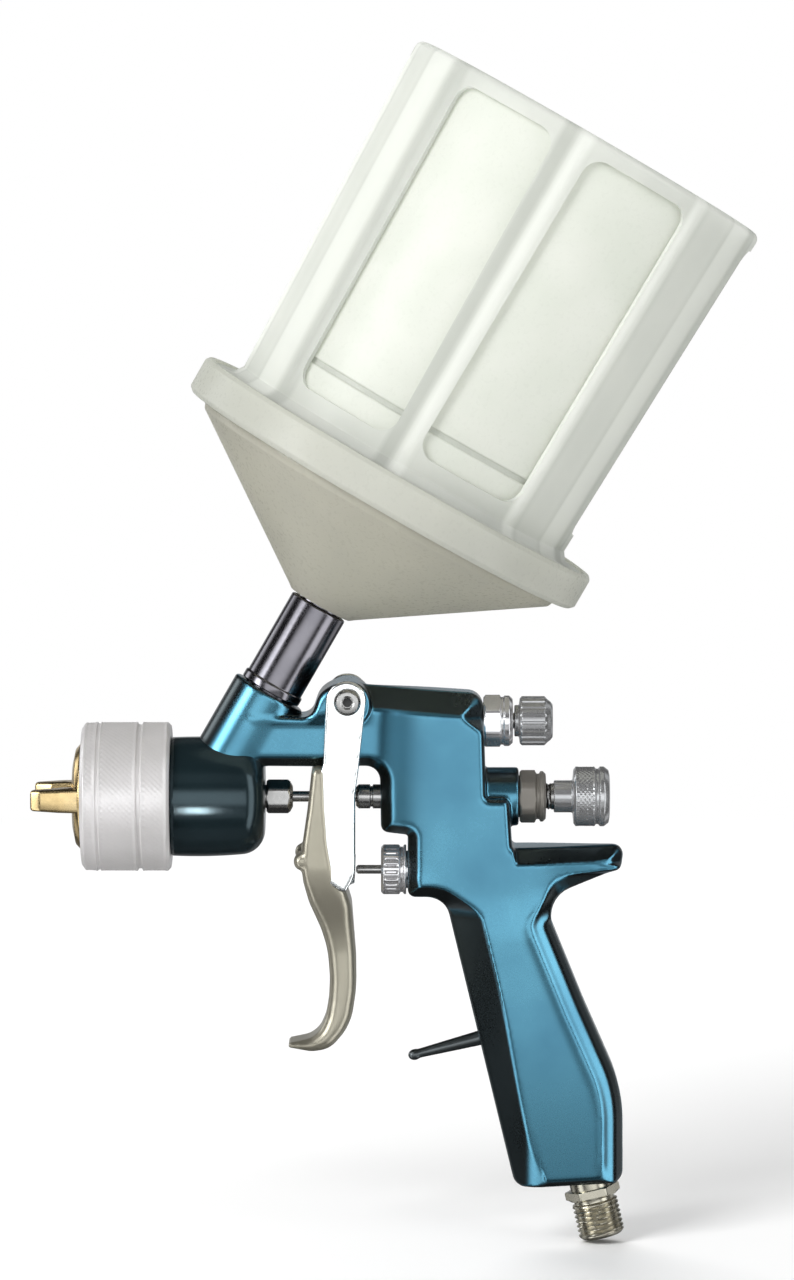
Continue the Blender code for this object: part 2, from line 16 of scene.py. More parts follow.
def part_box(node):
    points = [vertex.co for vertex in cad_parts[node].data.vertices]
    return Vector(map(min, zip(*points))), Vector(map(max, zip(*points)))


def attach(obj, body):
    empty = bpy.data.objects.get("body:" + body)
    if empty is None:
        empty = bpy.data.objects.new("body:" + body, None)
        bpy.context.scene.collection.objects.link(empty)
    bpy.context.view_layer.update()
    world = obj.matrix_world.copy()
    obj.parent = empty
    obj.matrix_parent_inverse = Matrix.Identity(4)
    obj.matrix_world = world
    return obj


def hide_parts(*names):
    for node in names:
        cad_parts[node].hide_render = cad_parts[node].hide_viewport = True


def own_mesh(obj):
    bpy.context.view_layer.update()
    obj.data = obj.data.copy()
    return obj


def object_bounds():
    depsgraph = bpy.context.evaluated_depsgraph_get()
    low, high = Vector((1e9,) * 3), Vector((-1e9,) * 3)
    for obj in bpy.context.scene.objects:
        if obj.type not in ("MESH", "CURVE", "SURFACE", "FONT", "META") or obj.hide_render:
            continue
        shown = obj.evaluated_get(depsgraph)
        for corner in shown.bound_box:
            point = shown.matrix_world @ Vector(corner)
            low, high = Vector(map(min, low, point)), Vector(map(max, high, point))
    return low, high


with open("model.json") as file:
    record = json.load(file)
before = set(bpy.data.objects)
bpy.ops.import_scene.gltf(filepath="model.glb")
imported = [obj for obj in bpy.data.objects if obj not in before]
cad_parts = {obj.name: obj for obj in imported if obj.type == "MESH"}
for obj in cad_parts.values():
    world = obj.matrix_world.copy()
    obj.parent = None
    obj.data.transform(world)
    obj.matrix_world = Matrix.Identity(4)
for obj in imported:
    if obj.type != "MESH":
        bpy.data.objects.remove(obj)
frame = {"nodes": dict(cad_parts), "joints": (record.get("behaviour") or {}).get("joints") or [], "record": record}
CAD_BOX = [list(corner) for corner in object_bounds()]
JOINTS = {joint["name"]: joint for joint in frame["joints"]}
MOUNTS = {mount["name"]: mount for mount in frame["record"]["mounts"]}
MM = 0.001


def joint_point(name):
    """A point on a hinge's axis, in millimetres."""
    return np.array(JOINTS[name]["pos_m"]) * 1000


PIVOT = joint_point("trigger_pull")
SPRAY_Z = joint_point("fluid_knob_turn")[2]
SPREADER_Z = joint_point("spreader_knob_turn")[2]
VALVE_Z = sum(corner[2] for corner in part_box("air_valve_stem")) * 500
CUP_AXIS = np.array(JOINTS["cup_twist"]["axis"])
CUP_TILT = math.degrees(math.atan2(CUP_AXIS[0], CUP_AXIS[2]))
CUP_FOOT = joint_point("cup_twist") - CUP_AXIS * (joint_point("cup_twist")[2] - SPRAY_Z) / CUP_AXIS[2]
INLET_FACE = np.array(MOUNTS["air_inlet_face"]["pos_m"]) * [1000, 0, 1000]
INLET_AXIS = -np.array(MOUNTS["air_inlet_face"]["axis"])
INLET_TILT = math.degrees(math.atan2(INLET_AXIS[0], INLET_AXIS[2]))
AXES = {
    "spray": ((0, 0, SPRAY_Z), 90.0),
    "spreader": ((0, 0, SPREADER_Z), 90.0),
    "valve": ((0, 0, VALVE_Z), 90.0),
    "cup": (tuple(CUP_FOOT), CUP_TILT),
    "inlet": (tuple(INLET_FACE), INLET_TILT),
    "pivot": (tuple(PIVOT), None),
}


# ---- materials ----

class Nodes:
    """A short way to write a node tree."""

    def __init__(self, tree):
        self.tree = tree
        tree.nodes.clear()

    def add(self, kind, links=None, **settings):
        node = self.tree.nodes.new(kind)
        for key, value in settings.items():
            setattr(node, key, value)
        for key, value in (links or {}).items():
            socket = node.inputs[key]
            if isinstance(value, bpy.types.NodeSocket):
                self.tree.links.new(value, socket)
            else:
                socket.default_value = value
        return node

    def coords(self, scale=(1, 1, 1)):
        where = self.add("ShaderNodeTexCoord").outputs["Object"]
        return self.add("ShaderNodeMapping", {"Vector": where, "Scale": scale}).outputs[0]

    def noise(self, scale, detail, stretch=(1, 1, 1)):
        return self.add("ShaderNodeTexNoise", {"Vector": self.coords(stretch), "Scale": scale,
                                               "Detail": detail}).outputs["Fac"]

    def ramp(self, value, low, high, start=0.0, end=1.0):
        return self.add("ShaderNodeMapRange", {"Value": value, "From Min": low, "From Max": high,
                                               "To Min": start, "To Max": end}).outputs["Result"]

    def band(self, value, low, high, soft):
        """1 from low to high, fading to 0 over the distance soft on both sides."""
        rise, fall = self.ramp(value, low - soft, low), self.ramp(value, high, high + soft, 1, 0)
        return self.maths("MULTIPLY", rise, fall)

    def mix(self, factor, a, b):
        a, b = (c if isinstance(c, bpy.types.NodeSocket) else (*c, 1.0) for c in (a, b))
        return self.add("ShaderNodeMix", {0: factor, 6: a, 7: b}, data_type="RGBA").outputs[2]

    def maths(self, operation, a, b=0.0):
        return self.add("ShaderNodeMath", {0: a, 1: b}, operation=operation).outputs[0]

    def parts(self, vector):
        return self.add("ShaderNodeSeparateXYZ", {0: vector}).outputs

    def bump(self, height, strength):
        return self.add("ShaderNodeBump", {"Height": height, "Strength": strength,
                                           "Distance": 0.2 * MM}).outputs[0]


def new_material(name):
    material = bpy.data.materials.new(name)
    material.use_nodes = True
    return material, Nodes(material.node_tree)


def metal(name, colour, dark, roughness, spread=0.06, grain=900, lines=0.0, wear=0.0, worn=None,
          bump=0.08, patch=55, metallic=1.0, coat=0.0, slope_shade=None):
    """A metal with blotches of a darker tone, uneven polish, fine grain or turned lines, and worn edges. The
    sloped faces, between the flat sides and the rims, take a darker tone, a painted shade."""
    material, n = new_material(name)
    blotch = n.ramp(n.noise(patch, 4), 0.35, 0.68)
    fine = n.noise(grain, 2)
    base = n.mix(blotch, colour, dark)
    if wear:
        edge = n.add("ShaderNodeNewGeometry").outputs["Pointiness"]
        edge = n.ramp(edge, 0.52, 0.60, 0.0, wear)
        edge = n.maths("MULTIPLY", edge, n.ramp(n.noise(160, 5), 0.35, 0.65))
        base = n.mix(edge, base, worn or colour)
    # painted shade: faces that slope up, down or sideways are darkened towards the slope tone
    if slope_shade:
        facing = n.parts(n.add("ShaderNodeTexCoord").outputs["Normal"])
        across = n.maths("ABSOLUTE", facing["X"])
        upright = n.maths("ABSOLUTE", facing["Z"])
        up = n.maths("MULTIPLY", n.ramp(upright, 0.45, 0.60), n.ramp(upright, 0.84, 0.95, 1, 0))
        side = n.maths("MULTIPLY", n.ramp(across, 0.54, 0.64), n.ramp(across, 0.90, 0.98, 1, 0))
        base = n.mix(n.maths("MAXIMUM", up, side), base, slope_shade)
    height = fine
    if lines:
        turned_lines = n.noise(1.0, 3, (40, 40, 5200))
        height = n.mix(lines, fine, turned_lines)
        base = n.mix(n.ramp(turned_lines, 0.3, 0.7, 0, 0.25 * lines), base, dark)
    rough = n.maths("ADD", n.ramp(blotch, 0, 1, roughness - spread / 2, roughness + spread / 2),
                    n.ramp(fine, 0.3, 0.7, -spread / 3, spread / 3))
    shader = n.add("ShaderNodeBsdfPrincipled", {
        "Base Color": base, "Metallic": metallic, "Roughness": rough, "Coat Weight": coat,
        "Coat Roughness": 0.22, "Normal": n.bump(height, bump)})
    n.add("ShaderNodeOutputMaterial", {"Surface": shader.outputs[0]})
    return material


def plastic(name, colour, shade, roughness, bump=0.04):
    """Matt plastic or rubber, with clouds of a second shade and a fine grain."""
    material, n = new_material(name)
    cloud = n.ramp(n.noise(90, 4), 0.3, 0.7)
    fine = n.noise(1400, 2)
    shader = n.add("ShaderNodeBsdfPrincipled", {
        "Base Color": n.mix(cloud, colour, shade), "IOR": 1.46, "Normal": n.bump(fine, bump),
        "Roughness": n.ramp(fine, 0.3, 0.7, roughness - 0.04, roughness + 0.04)})
    n.add("ShaderNodeOutputMaterial", {"Surface": shader.outputs[0]})
    return material


def milky(name, colour, shade, through, roughness=0.35, haze=60, ribs=False, line=None):
    """Thin milky plastic that is lit from both sides and lets a little of what is behind it show. With ribs, its
    outer skin takes painted shade and painted highlights beside the windows, by the turn round the cup. A line is
    a pair of stations along the cup's axis, in mm, between which a darker ring is painted: a painted shade in the
    liner's groove."""
    material, n = new_material(name)
    cloud = n.ramp(n.noise(haze, 4), 0.3, 0.7)
    base = n.mix(cloud, colour, shade)
    if ribs:
        axes = n.parts(n.coords())
        turn = n.maths("DEGREES", n.maths("ARCTAN2", axes["Y"], axes["X"]))
        turn = n.maths("FLOORED_MODULO", n.maths("ADD", turn, 60 - PAIR_TURN), 120.0)
        turn = n.maths("SUBTRACT", turn, 60.0)
        wall = n.maths("SQRT", n.maths("ADD", n.maths("MULTIPLY", axes["X"], axes["X"]),
                                       n.maths("MULTIPLY", axes["Y"], axes["Y"])))
        wall = n.ramp(wall, 0.0465, 0.0490)
        # painted shade and painted highlights beside the ribs and windows, on the frame's outer skin
        for low, high, tone, share in RIB_LIGHT_AND_SHADE:
            there = n.maths("MULTIPLY", n.band(turn, low + 0.6, high - 0.6, 1.8), wall)
            base = n.mix(n.maths("MULTIPLY", there, share), base, tone)
    # painted shade: a darker ring along the liner's groove
    if line:
        station = n.parts(n.coords())["Z"]
        low, high = (edge * MM for edge in line)
        base = n.mix(n.maths("MULTIPLY", n.band(station, low, high, 0.3 * MM), 0.5), base, PAINTED_SHADE)
    fine = n.noise(900, 2)
    skin = n.add("ShaderNodeBsdfPrincipled", {
        "Base Color": base, "Roughness": n.ramp(fine, 0.3, 0.7, roughness - 0.05, roughness + 0.05),
        "IOR": 1.45, "Normal": n.bump(fine, 0.03)})
    back = n.add("ShaderNodeBsdfTranslucent", {"Color": base})
    gap = n.add("ShaderNodeBsdfTransparent", {"Color": (0.97, 0.98, 0.96, 1)})
    lit = n.add("ShaderNodeMixShader", {0: 0.45, 1: skin.outputs[0], 2: back.outputs[0]})
    seen = n.add("ShaderNodeMixShader", {0: through, 1: lit.outputs[0], 2: gap.outputs[0]})
    n.add("ShaderNodeOutputMaterial", {"Surface": seen.outputs[0]})
    return material


PAIRS, PAIR_TURN = 3, -94.0  # pairs of windows round the cup, and the turn of the nearest pair's middle
# tones of painted light and painted shade for the cup
PAINTED_LIGHT, PAINTED_SHADE = (0.97, 0.98, 0.95), (0.52, 0.54, 0.50)
# painted light and shade round the frame, by the turn from a pair's middle: low, high, tone and how much of it
RIB_LIGHT_AND_SHADE = ((-5.0, -1.2, PAINTED_SHADE, 0.5), (0.6, 4.0, PAINTED_LIGHT, 0.95), (41.0, 45.0, PAINTED_LIGHT, 0.95),
             (47.5, 58.0, PAINTED_LIGHT, 0.35), (-47.0, -41.0, PAINTED_SHADE, 0.35), (-59.5, -49.0, PAINTED_LIGHT, 0.8))

MATERIALS = {
    # the blue's slope tone is a painted shade on its sloped bands
    "anodised_blue": metal("anodised blue", (0.090, 0.275, 0.378), (0.069, 0.222, 0.322), 0.29, 0.05, 1500,
                           bump=0.015, patch=40, coat=0.3, slope_shade=(0.056, 0.074, 0.080)),
    "dark anodised": metal("dark anodised", (0.021, 0.042, 0.050), (0.014, 0.030, 0.037), 0.17, 0.04, 1500,
                           wear=0.25, worn=(0.08, 0.14, 0.18), bump=0.03, patch=40, metallic=0.6, coat=0.2),
    "knurled_aluminium": metal("satin aluminium", (0.72, 0.70, 0.70), (0.62, 0.605, 0.60), 0.34, 0.08, 1200,
                               lines=0.5, wear=0.5, worn=(0.86, 0.86, 0.86), bump=0.12, metallic=0.3),
    "brass": metal("brass", (0.80, 0.60, 0.30), (0.62, 0.45, 0.22), 0.24, 0.08, 800, lines=0.3, wear=0.3,
                   worn=(0.92, 0.78, 0.50)),
    "chrome": metal("chrome", (0.74, 0.73, 0.74), (0.64, 0.63, 0.64), 0.19, 0.05, 700, bump=0.03,
                    metallic=0.85),
    "nickel": metal("warm nickel", (0.50, 0.47, 0.385), (0.44, 0.41, 0.335), 0.27, 0.06, 700, wear=0.3,
                    worn=(0.72, 0.70, 0.60), bump=0.05, metallic=0.92),
    "lever nickel": metal("lever nickel", (0.400, 0.372, 0.298), (0.355, 0.330, 0.262), 0.33, 0.06, 700,
                          wear=0.3, worn=(0.56, 0.54, 0.46), bump=0.05, metallic=0.75),
    "dull bronze": metal("dull bronze", (0.26, 0.245, 0.22), (0.20, 0.185, 0.165), 0.42, 0.06, 700, lines=0.4,
                         wear=0.3, worn=(0.45, 0.42, 0.36), metallic=0.6),
    "grey chrome": metal("grey chrome", (0.47, 0.47, 0.475), (0.39, 0.39, 0.395), 0.24, 0.06, 700, lines=0.3,
                         wear=0.4, worn=(0.75, 0.75, 0.75), bump=0.04, metallic=0.75),
    "tube steel": metal("tube steel", (0.205, 0.195, 0.212), (0.165, 0.158, 0.175), 0.20, 0.05, 800,
                        lines=0.3, wear=0.4, worn=(0.6, 0.6, 0.6), bump=0.05),
    "blued steel": metal("blued steel", (0.135, 0.148, 0.152), (0.100, 0.110, 0.114), 0.36, 0.06, 900,
                         wear=0.3, worn=(0.3, 0.32, 0.33), bump=0.08),
    "bright nickel": metal("bright nickel", (0.86, 0.87, 0.86), (0.78, 0.80, 0.80), 0.20, 0.05, 700,
                           bump=0.04),
    "stainless": metal("turned steel", (0.47, 0.46, 0.45), (0.37, 0.36, 0.35), 0.28, 0.08, 900, lines=0.8,
                       bump=0.10),
    "spring_steel": metal("spring steel", (0.40, 0.40, 0.42), (0.28, 0.28, 0.30), 0.35, 0.08, 900),
    "seal_plastic": plastic("natural seal plastic", (0.84, 0.84, 0.80), (0.76, 0.76, 0.71), 0.45),
    "dark_rubber": plastic("seal rubber and hole shade", (0.030, 0.030, 0.032), (0.05, 0.05, 0.05), 0.65, bump=0.15),
    # the frame's ribs setting paints light and shade beside its windows
    "frame_plastic": milky("frosted frame plastic", (0.85, 0.86, 0.825), (0.80, 0.815, 0.78), 0.12,
                           ribs=True),
    # the liner's line is a painted shade along its groove
    "liner_plastic": milky("milky liner plastic", (0.95, 0.96, 0.92), (0.90, 0.92, 0.87), 0.16, 0.30,
                           line=(121.2, 122.6)),
    "lid_plastic": milky("smoked lid plastic", (0.69, 0.675, 0.59), (0.60, 0.59, 0.52), 0.06, 0.3, 28),
    "collar_plastic": milky("collar plastic", (0.75, 0.755, 0.695), (0.68, 0.69, 0.635), 0.06, 0.3, 28),
}


# ---- making pieces ----

def place(obj, body, slot, replaced, look=None):
    """Gives a piece its finish, the body that it moves with and the nodes that it stands for."""
    obj.data.materials.clear()
    obj.data.materials.append(MATERIALS[look or slot])
    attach(obj, body)
    if replaced:
        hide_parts(*replaced)
    return obj


def link_object(name, data):
    """A new object in the scene with this data."""
    obj = bpy.data.objects.new(name, data)
    bpy.context.scene.collection.objects.link(obj)
    return obj


def mesh_object(name, points, faces, matrix=None, sharp=38):
    """An object from points in millimetres, with faces pointing out."""
    mesh = bpy.data.meshes.new(name)
    mesh.from_pydata((np.asarray(points) * MM).tolist(), [], faces)
    work = bmesh.new()
    work.from_mesh(mesh)
    bmesh.ops.remove_doubles(work, verts=work.verts, dist=1e-6)
    bmesh.ops.recalc_face_normals(work, faces=work.faces)
    work.to_mesh(mesh)
    work.free()
    mesh.shade_smooth()
    mesh.set_sharp_from_angle(angle=math.radians(sharp))
    obj = link_object(name, mesh)
    if matrix:
        obj.matrix_world = matrix
    return obj


def axis_matrix(axis):
    """The place of a named axis: local Z runs along it."""
    origin, tilt = AXES[axis]
    if tilt is None:
        turn = Matrix.Rotation(math.radians(90), 4, "X")  # local Z towards -Y, the near side
    else:
        turn = Matrix.Rotation(math.radians(tilt), 4, "Y")
    return Matrix.Translation(Vector(origin) * MM) @ turn


def rounded(corners, steps=6, closed=True):
    """An outline through (a, b, radius) corners, with an arc at each that has a radius."""
    points = []
    for i, corner in enumerate(corners):
        radius = corner[2] if len(corner) > 2 else 0
        here = Vector(corner[:2])
        if not radius or (not closed and i in (0, len(corners) - 1)):
            points.append(tuple(here))
            continue
        back = Vector(corners[i - 1][:2]) - here
        ahead = Vector(corners[(i + 1) % len(corners)][:2]) - here
        half = back.angle(ahead) / 2
        reach = min(radius / math.tan(half), back.length * 0.499, ahead.length * 0.499)
        radius = reach * math.tan(half)
        back.normalize()
        ahead.normalize()
        centre = here + (back + ahead).normalized() * (radius / math.sin(half))
        spoke = here + back * reach - centre
        sweep = math.copysign(math.pi - 2 * half, back.cross(ahead))
        for k in range(steps + 1):
            turn = -sweep * k / steps
            points.append((centre.x + spoke.x * math.cos(turn) - spoke.y * math.sin(turn),
                           centre.y + spoke.x * math.sin(turn) + spoke.y * math.cos(turn)))
    return points


def skin_faces(rings, count, looped=False):
    """Four-sided faces from each ring of points to the next, and back to the first ring if looped."""
    faces = []
    for i in range(rings if looped else rings - 1):
        a, b = i * count, (i + 1) % rings * count
        for k in range(count):
            m = (k + 1) % count
            faces.append((a + k, a + m, b + m, b + k))
    return faces


def tube_faces(rings, count):
    """The faces between rings of points, and a cap at each end."""
    last = (rings - 1) * count
    return skin_faces(rings, count) + [tuple(range(count)), tuple(range(last, last + count))]


def lathe(name, axis, corners, body, slot, replaced=(), segments=96, shape=None, closed=False, fine=None,
          look=None):
    """A turned piece from (radius, station, corner radius) points, ends on the axis unless closed.
    shape(radius, station, angle) may change the radius, and fine adds stations where it does."""
    profile = np.array(rounded(corners, 4, closed))
    if closed:
        profile = np.vstack([profile, profile[:1]])
    if fine:
        low, high, spacing = fine
        dense = [profile[0]]
        for a, b in zip(profile[:-1], profile[1:]):
            inside = max(a[1], b[1]) > low and min(a[1], b[1]) < high
            count = max(1, math.ceil(abs(b[1] - a[1]) / spacing)) if inside else 1
            dense += [a + (b - a) * k / count for k in range(1, count + 1)]
        profile = np.array(dense)
    if closed:
        profile = profile[:-1]
    angle = np.arange(segments) * math.tau / segments
    radius = np.repeat(profile[:, :1], segments, 1)
    station = np.repeat(profile[:, 1:], segments, 1)
    if shape:
        radius = np.where(radius > 0.01, shape(radius, station, angle[None, :]), radius)
    points = np.stack([radius * np.cos(angle), radius * np.sin(angle), station], 2).reshape(-1, 3)
    faces = skin_faces(len(profile), segments, closed)
    return place(mesh_object(name, points, faces, axis_matrix(axis)), body, slot, replaced, look)


def between(station, low, high, fade):
    """1 well between two stations, fading to 0 at both."""
    return np.clip((station - low) / fade, 0, 1) * np.clip((high - station) / fade, 0, 1)


def hexagon(half, angle):
    """The radius of a hexagon that is twice half across its flats."""
    return half / np.cos((angle % (math.tau / 6)) - math.pi / 6)


def diamond_knurl(count, depth, bands, outer):
    """A shape that presses a diamond knurl into the outermost skin, in bands of stations."""
    def shape(radius, station, angle):
        skin = radius > outer - 0.6
        total = np.zeros(np.broadcast(radius, angle).shape)
        lean = station / (math.tau * outer / count)
        for low, high in bands:
            one = np.abs(((angle * count / math.tau + lean) % 1) * 2 - 1)
            two = np.abs(((angle * count / math.tau - lean) % 1) * 2 - 1)
            total += between(station, low, high, 0.3) * np.maximum(one, two)
        return radius - depth * total * skin
    return shape


def thread(pitch, depth, low, high, outer):
    """A shape that cuts a screw thread between two stations, on the outermost skin only."""
    def shape(radius, station, angle):
        skin = radius > outer - 0.5
        turn = (station / pitch - angle / math.tau) % 1
        wave = np.clip(np.abs(turn * 2 - 1) * 1.25 - 0.12, 0, 1)
        return radius - depth * wave * between(station, low, high, 0.8) * skin
    return shape


def hexagonal(across_flats, low, high):
    """A shape that cuts six flats between two stations, and leaves what is well inside them."""
    def shape(radius, station, angle):
        flat = hexagon(across_flats / 2, angle)
        inside = (station > low) & (station < high) & (radius > across_flats / 2 - 0.4)
        return np.where(inside, np.minimum(radius, flat), radius)
    return shape


def grips(count, depth, low, high, skin):
    """A shape that cuts scalloped finger grips into the outermost skin between two stations."""
    def shape(radius, station, angle):
        wave = np.clip(np.cos(angle * count) * 1.3 - 0.1, 0, 1) ** 0.8
        return radius - depth * wave * between(station, low, high, 0.5) * (radius > skin)
    return shape


def both(first, second):
    """One shape after the other."""
    return lambda radius, station, angle: second(first(radius, station, angle), station, angle)


# ---- distance fields ----

def outline_distance(outline, x, z):
    """Signed distance in the XZ plane to a closed outline, negative inside."""
    best = None
    inside = None
    count = len(outline)
    for i in range(count):
        ax, az = outline[i]
        bx, bz = outline[(i + 1) % count]
        ex, ez = bx - ax, bz - az
        length = ex * ex + ez * ez
        if length < 1e-12:
            continue
        t = np.clip(((x - ax) * ex + (z - az) * ez) / length, 0, 1)
        gap = (x - ax - ex * t) ** 2 + (z - az - ez * t) ** 2
        crosses = ((az > z) != (bz > z)) & (x < ax + ex * (z - az) / (ez if ez else 1e-9))
        best = gap if best is None else np.minimum(best, gap)
        inside = crosses if inside is None else inside ^ crosses
    return np.sqrt(best) * np.where(inside, -1, 1)


def round_edge(a, b, edge):
    """What is inside both, with a round edge, from both distances less the edge's radius."""
    return np.minimum(np.maximum(a, b), 0) + np.hypot(np.maximum(a, 0), np.maximum(b, 0)) - edge


def slab(flat, y, half, edge):
    """A plate from its outline's distance: half its thickness, and its edges' radius."""
    return round_edge(flat + edge, np.abs(y) - half + edge, edge)


def blend_in(a, b, width):
    """Both shapes, joined with a fillet."""
    share = np.maximum(width - np.abs(a - b), 0) / width
    return np.minimum(a, b) - share * share * width / 4


def cut_out(a, b, width=0.4):
    """a without b, with a small chamfer at the edge."""
    share = np.maximum(width - np.abs(a + b), 0) / width
    return np.maximum(a, -b) + share * share * width / 4


def step(value, low, high):
    """0 below low, 1 above high and smooth between."""
    t = np.clip((value - low) / (high - low), 0, 1)
    return t * t * (3 - 2 * t)


def bar(x, y, z, axis, radius, start, end, edge=0.3):
    """A cylinder on a named axis."""
    (ox, oy, oz), tilt = AXES[axis]
    along = (math.sin(math.radians(tilt)), math.cos(math.radians(tilt)))
    s = (x - ox) * along[0] + (z - oz) * along[1]
    u = (x - ox) * along[1] - (z - oz) * along[0]
    a = np.hypot(u, y) - radius + edge
    b = np.maximum(start - s, s - end) + edge
    return round_edge(a, b, edge)


def spike(x, y, z, root, tip, wide, narrow):
    """A tapered rod with round ends."""
    root, tip = np.array(root, float), np.array(tip, float)
    d = tip - root
    t = np.clip(((x - root[0]) * d[0] + (y - root[1]) * d[1] + (z - root[2]) * d[2]) / (d @ d), 0, 1)
    square = sum((c - root[i] - d[i] * t) ** 2 for i, c in enumerate((x, y, z)))
    return np.sqrt(square) - (wide + (narrow - wide) * t)


def field_mesh(field, low, high, size):
    """Points and four-sided faces of the surface where field is zero: one point per grid cell that it
    crosses, moved onto the surface."""
    axes = [np.arange(a, b + size, size) for a, b in zip(low, high)]
    x, y, z = axes[0][:, None, None], axes[1][None, :, None], axes[2][None, None, :]
    value = np.broadcast_to(field(x, y, z), [len(a) for a in axes]).astype(np.float32)
    inside = value < 0
    corners = [(i, j, k) for i in (0, 1) for j in (0, 1) for k in (0, 1)]
    cut = [tuple(slice(c, (c - 1) or None) for c in corner) for corner in corners]
    count = sum(inside[c].astype(np.int8) for c in cut)
    cells = np.argwhere((count > 0) & (count < 8))
    sampled = np.stack([value[tuple((cells + corner).T)] for corner in corners], 1)
    total, hits = np.zeros((len(cells), 3)), np.zeros(len(cells))
    for i, first in enumerate(corners):
        for j, second in enumerate(corners):
            if j <= i or sum(a != b for a, b in zip(first, second)) != 1:
                continue
            a, b = sampled[:, i], sampled[:, j]
            crossing = (a < 0) != (b < 0)
            t = np.where(crossing, a / np.where(crossing, a - b, 1), 0)
            spot = np.array(first) + t[:, None] * (np.array(second) - np.array(first))
            total += spot * crossing[:, None]
            hits += crossing
    points = (cells + total / hits[:, None]) * size + np.array([a[0] for a in axes])
    for _ in range(2):
        here = field(*points.T)
        slope = np.stack([field(*(points + np.eye(3)[i] * 0.02).T) - here for i in range(3)], 1) / 0.02
        move = here[:, None] * slope / np.maximum((slope ** 2).sum(1), 0.05)[:, None]
        points -= np.clip(move, -size / 2, size / 2)
    number = np.full(np.array(value.shape) - 1, -1)
    number[tuple(cells.T)] = np.arange(len(cells))
    faces = []
    for axis in range(3):
        ahead = [slice(None)] * 3
        behind = [slice(None)] * 3
        ahead[axis], behind[axis] = slice(1, None), slice(None, -1)
        sign = inside[tuple(behind)].astype(np.int8) - inside[tuple(ahead)].astype(np.int8)
        spots = np.argwhere(sign != 0)
        others = [a for a in range(3) if a != axis]
        keep = (spots[:, others] > 0).all(1)
        spots = spots[keep]
        way = sign[tuple(spots.T)]
        quad = []
        for shift in ((0, 0), (1, 0), (1, 1), (0, 1)):
            at = spots.copy()
            at[:, others[0]] -= shift[0]
            at[:, others[1]] -= shift[1]
            quad.append(number[tuple(at.T)])
        quad = np.stack(quad, 1)
        flip = (way < 0) != (axis == 1)
        quad[flip] = quad[flip][:, ::-1]
        faces.append(quad)
    return points, np.vstack(faces)


def cast_piece(name, field, low, high, size, body, slot, replaced, look=None):
    """A piece from a distance field."""
    size = size * 1
    points, faces = field_mesh(field, low, high, size)
    mesh = bpy.data.meshes.new(name)
    mesh.vertices.add(len(points))
    mesh.vertices.foreach_set("co", (points * MM).astype(np.float32).ravel())
    mesh.loops.add(faces.size)
    mesh.loops.foreach_set("vertex_index", faces.astype(np.int32).ravel())
    mesh.polygons.add(len(faces))
    mesh.polygons.foreach_set("loop_start", np.arange(0, faces.size, 4, dtype=np.int32))
    mesh.update(calc_edges=True)
    mesh.validate()
    work = bmesh.new()
    work.from_mesh(mesh)
    bmesh.ops.recalc_face_normals(work, faces=work.faces)
    work.to_mesh(mesh)
    work.free()
    mesh.shade_smooth()
    return place(link_object(name, mesh), body, slot, replaced, look)


# ---- gun body ----

CASTING_CORNERS = [
    (-82, 91.6, 0), (-64.0, 91.0, 3.5), (-60.8, 100.4, 6.3), (-16.0, 97.5, 4.5), (-15.1, 68.3, 1.2),
    (-8.7, 68.3, 2.2), (-7.8, 54.2, 1.2), (23.9, 54.6, 3.2), (22.8, 48.0, 3.0), (0.6, 39.7, 8),
    (12.5, 10.5, 70), (23.3, -14.0, 40), (23.5, -40.3, 3.5), (-6.7, -42.0, 3.5), (-26.6, 40.2, 9),
    (-37.0, 40.2, 2.2), (-37.0, 57.9, 0.8), (-44.5, 58.5, 2.2), (-44.8, 76.9, 4.0), (-82, 77.2, 0),
]
CASTING = rounded(CASTING_CORNERS, 8)
# the same outline with the grip drawn out downwards, from which the bands along its sides are measured
DRAWN_OUT = {(23.5, -40.3, 3.5): (23.6, -70, 0), (-6.7, -42.0, 3.5): (0.1, -70, 0)}
SIDES = rounded([DRAWN_OUT.get(corner, corner) for corner in CASTING_CORNERS], 8)
BODY_HALF, EDGE = 11.5, 1.5
HEAD_R, HEAD_BACK, HEAD_DOME = 16.8, -75.7, 7.5
STUD_BORE = 2.9
RIM = 2.4  # the width of the steep rim outside the grip's rear band
SLOPE_STEEP, SLOPE_SHALLOW, SLOPE_RIM = math.radians(42), math.radians(27), math.radians(54)


def bevels(x, z):
    """How wide the sloped band along the outline is at each place, how steeply it falls away, and how far the
    place belongs to the rear of the grip."""
    lean = x - (-10.5 + (24 - z) * 0.235)  # across the grip from its middle line
    grip = step(-z, -46, -34)
    rear = step(-z, -42, -32) * step(lean, 1, 3)
    front = grip * step(-lean, 1, 3)
    block_front = step(-x, 20, 27) * step(z, 32, 38) * step(-z, -86, -78)
    top = step(z, 86, 92) * step(x, -60, -53)
    tail_top = step(x, -7.8, -6.4) * step(z, 48.2, 50.4)
    tail_low = step(x, -4.0, 5.0) * step(-z, -48.0, -46.4) * (1 - rear)
    width = (1.2 + 5.2 * top + (6.0 + 2.0 * step(z, -30, 20)) * front + 4.9 * rear + 3.2 * tail_top
             + 3.0 * tail_low + 1.8 * block_front * (1 - front))
    slope = SLOPE_STEEP + (SLOPE_SHALLOW - SLOPE_STEEP) * rear
    return width, slope, rear


def head_solid(x, y, z):
    """The outside of the round head behind the air cap ring, with its domed back."""
    head = round_edge(np.hypot(y, z - SPRAY_Z) - HEAD_R + HEAD_DOME, x - HEAD_BACK + HEAD_DOME, HEAD_DOME)
    head = head + np.minimum(0.0035 * (x + 96.0) ** 2, 1.3)  # narrower towards its back
    return np.maximum(head, -103.0 - x)


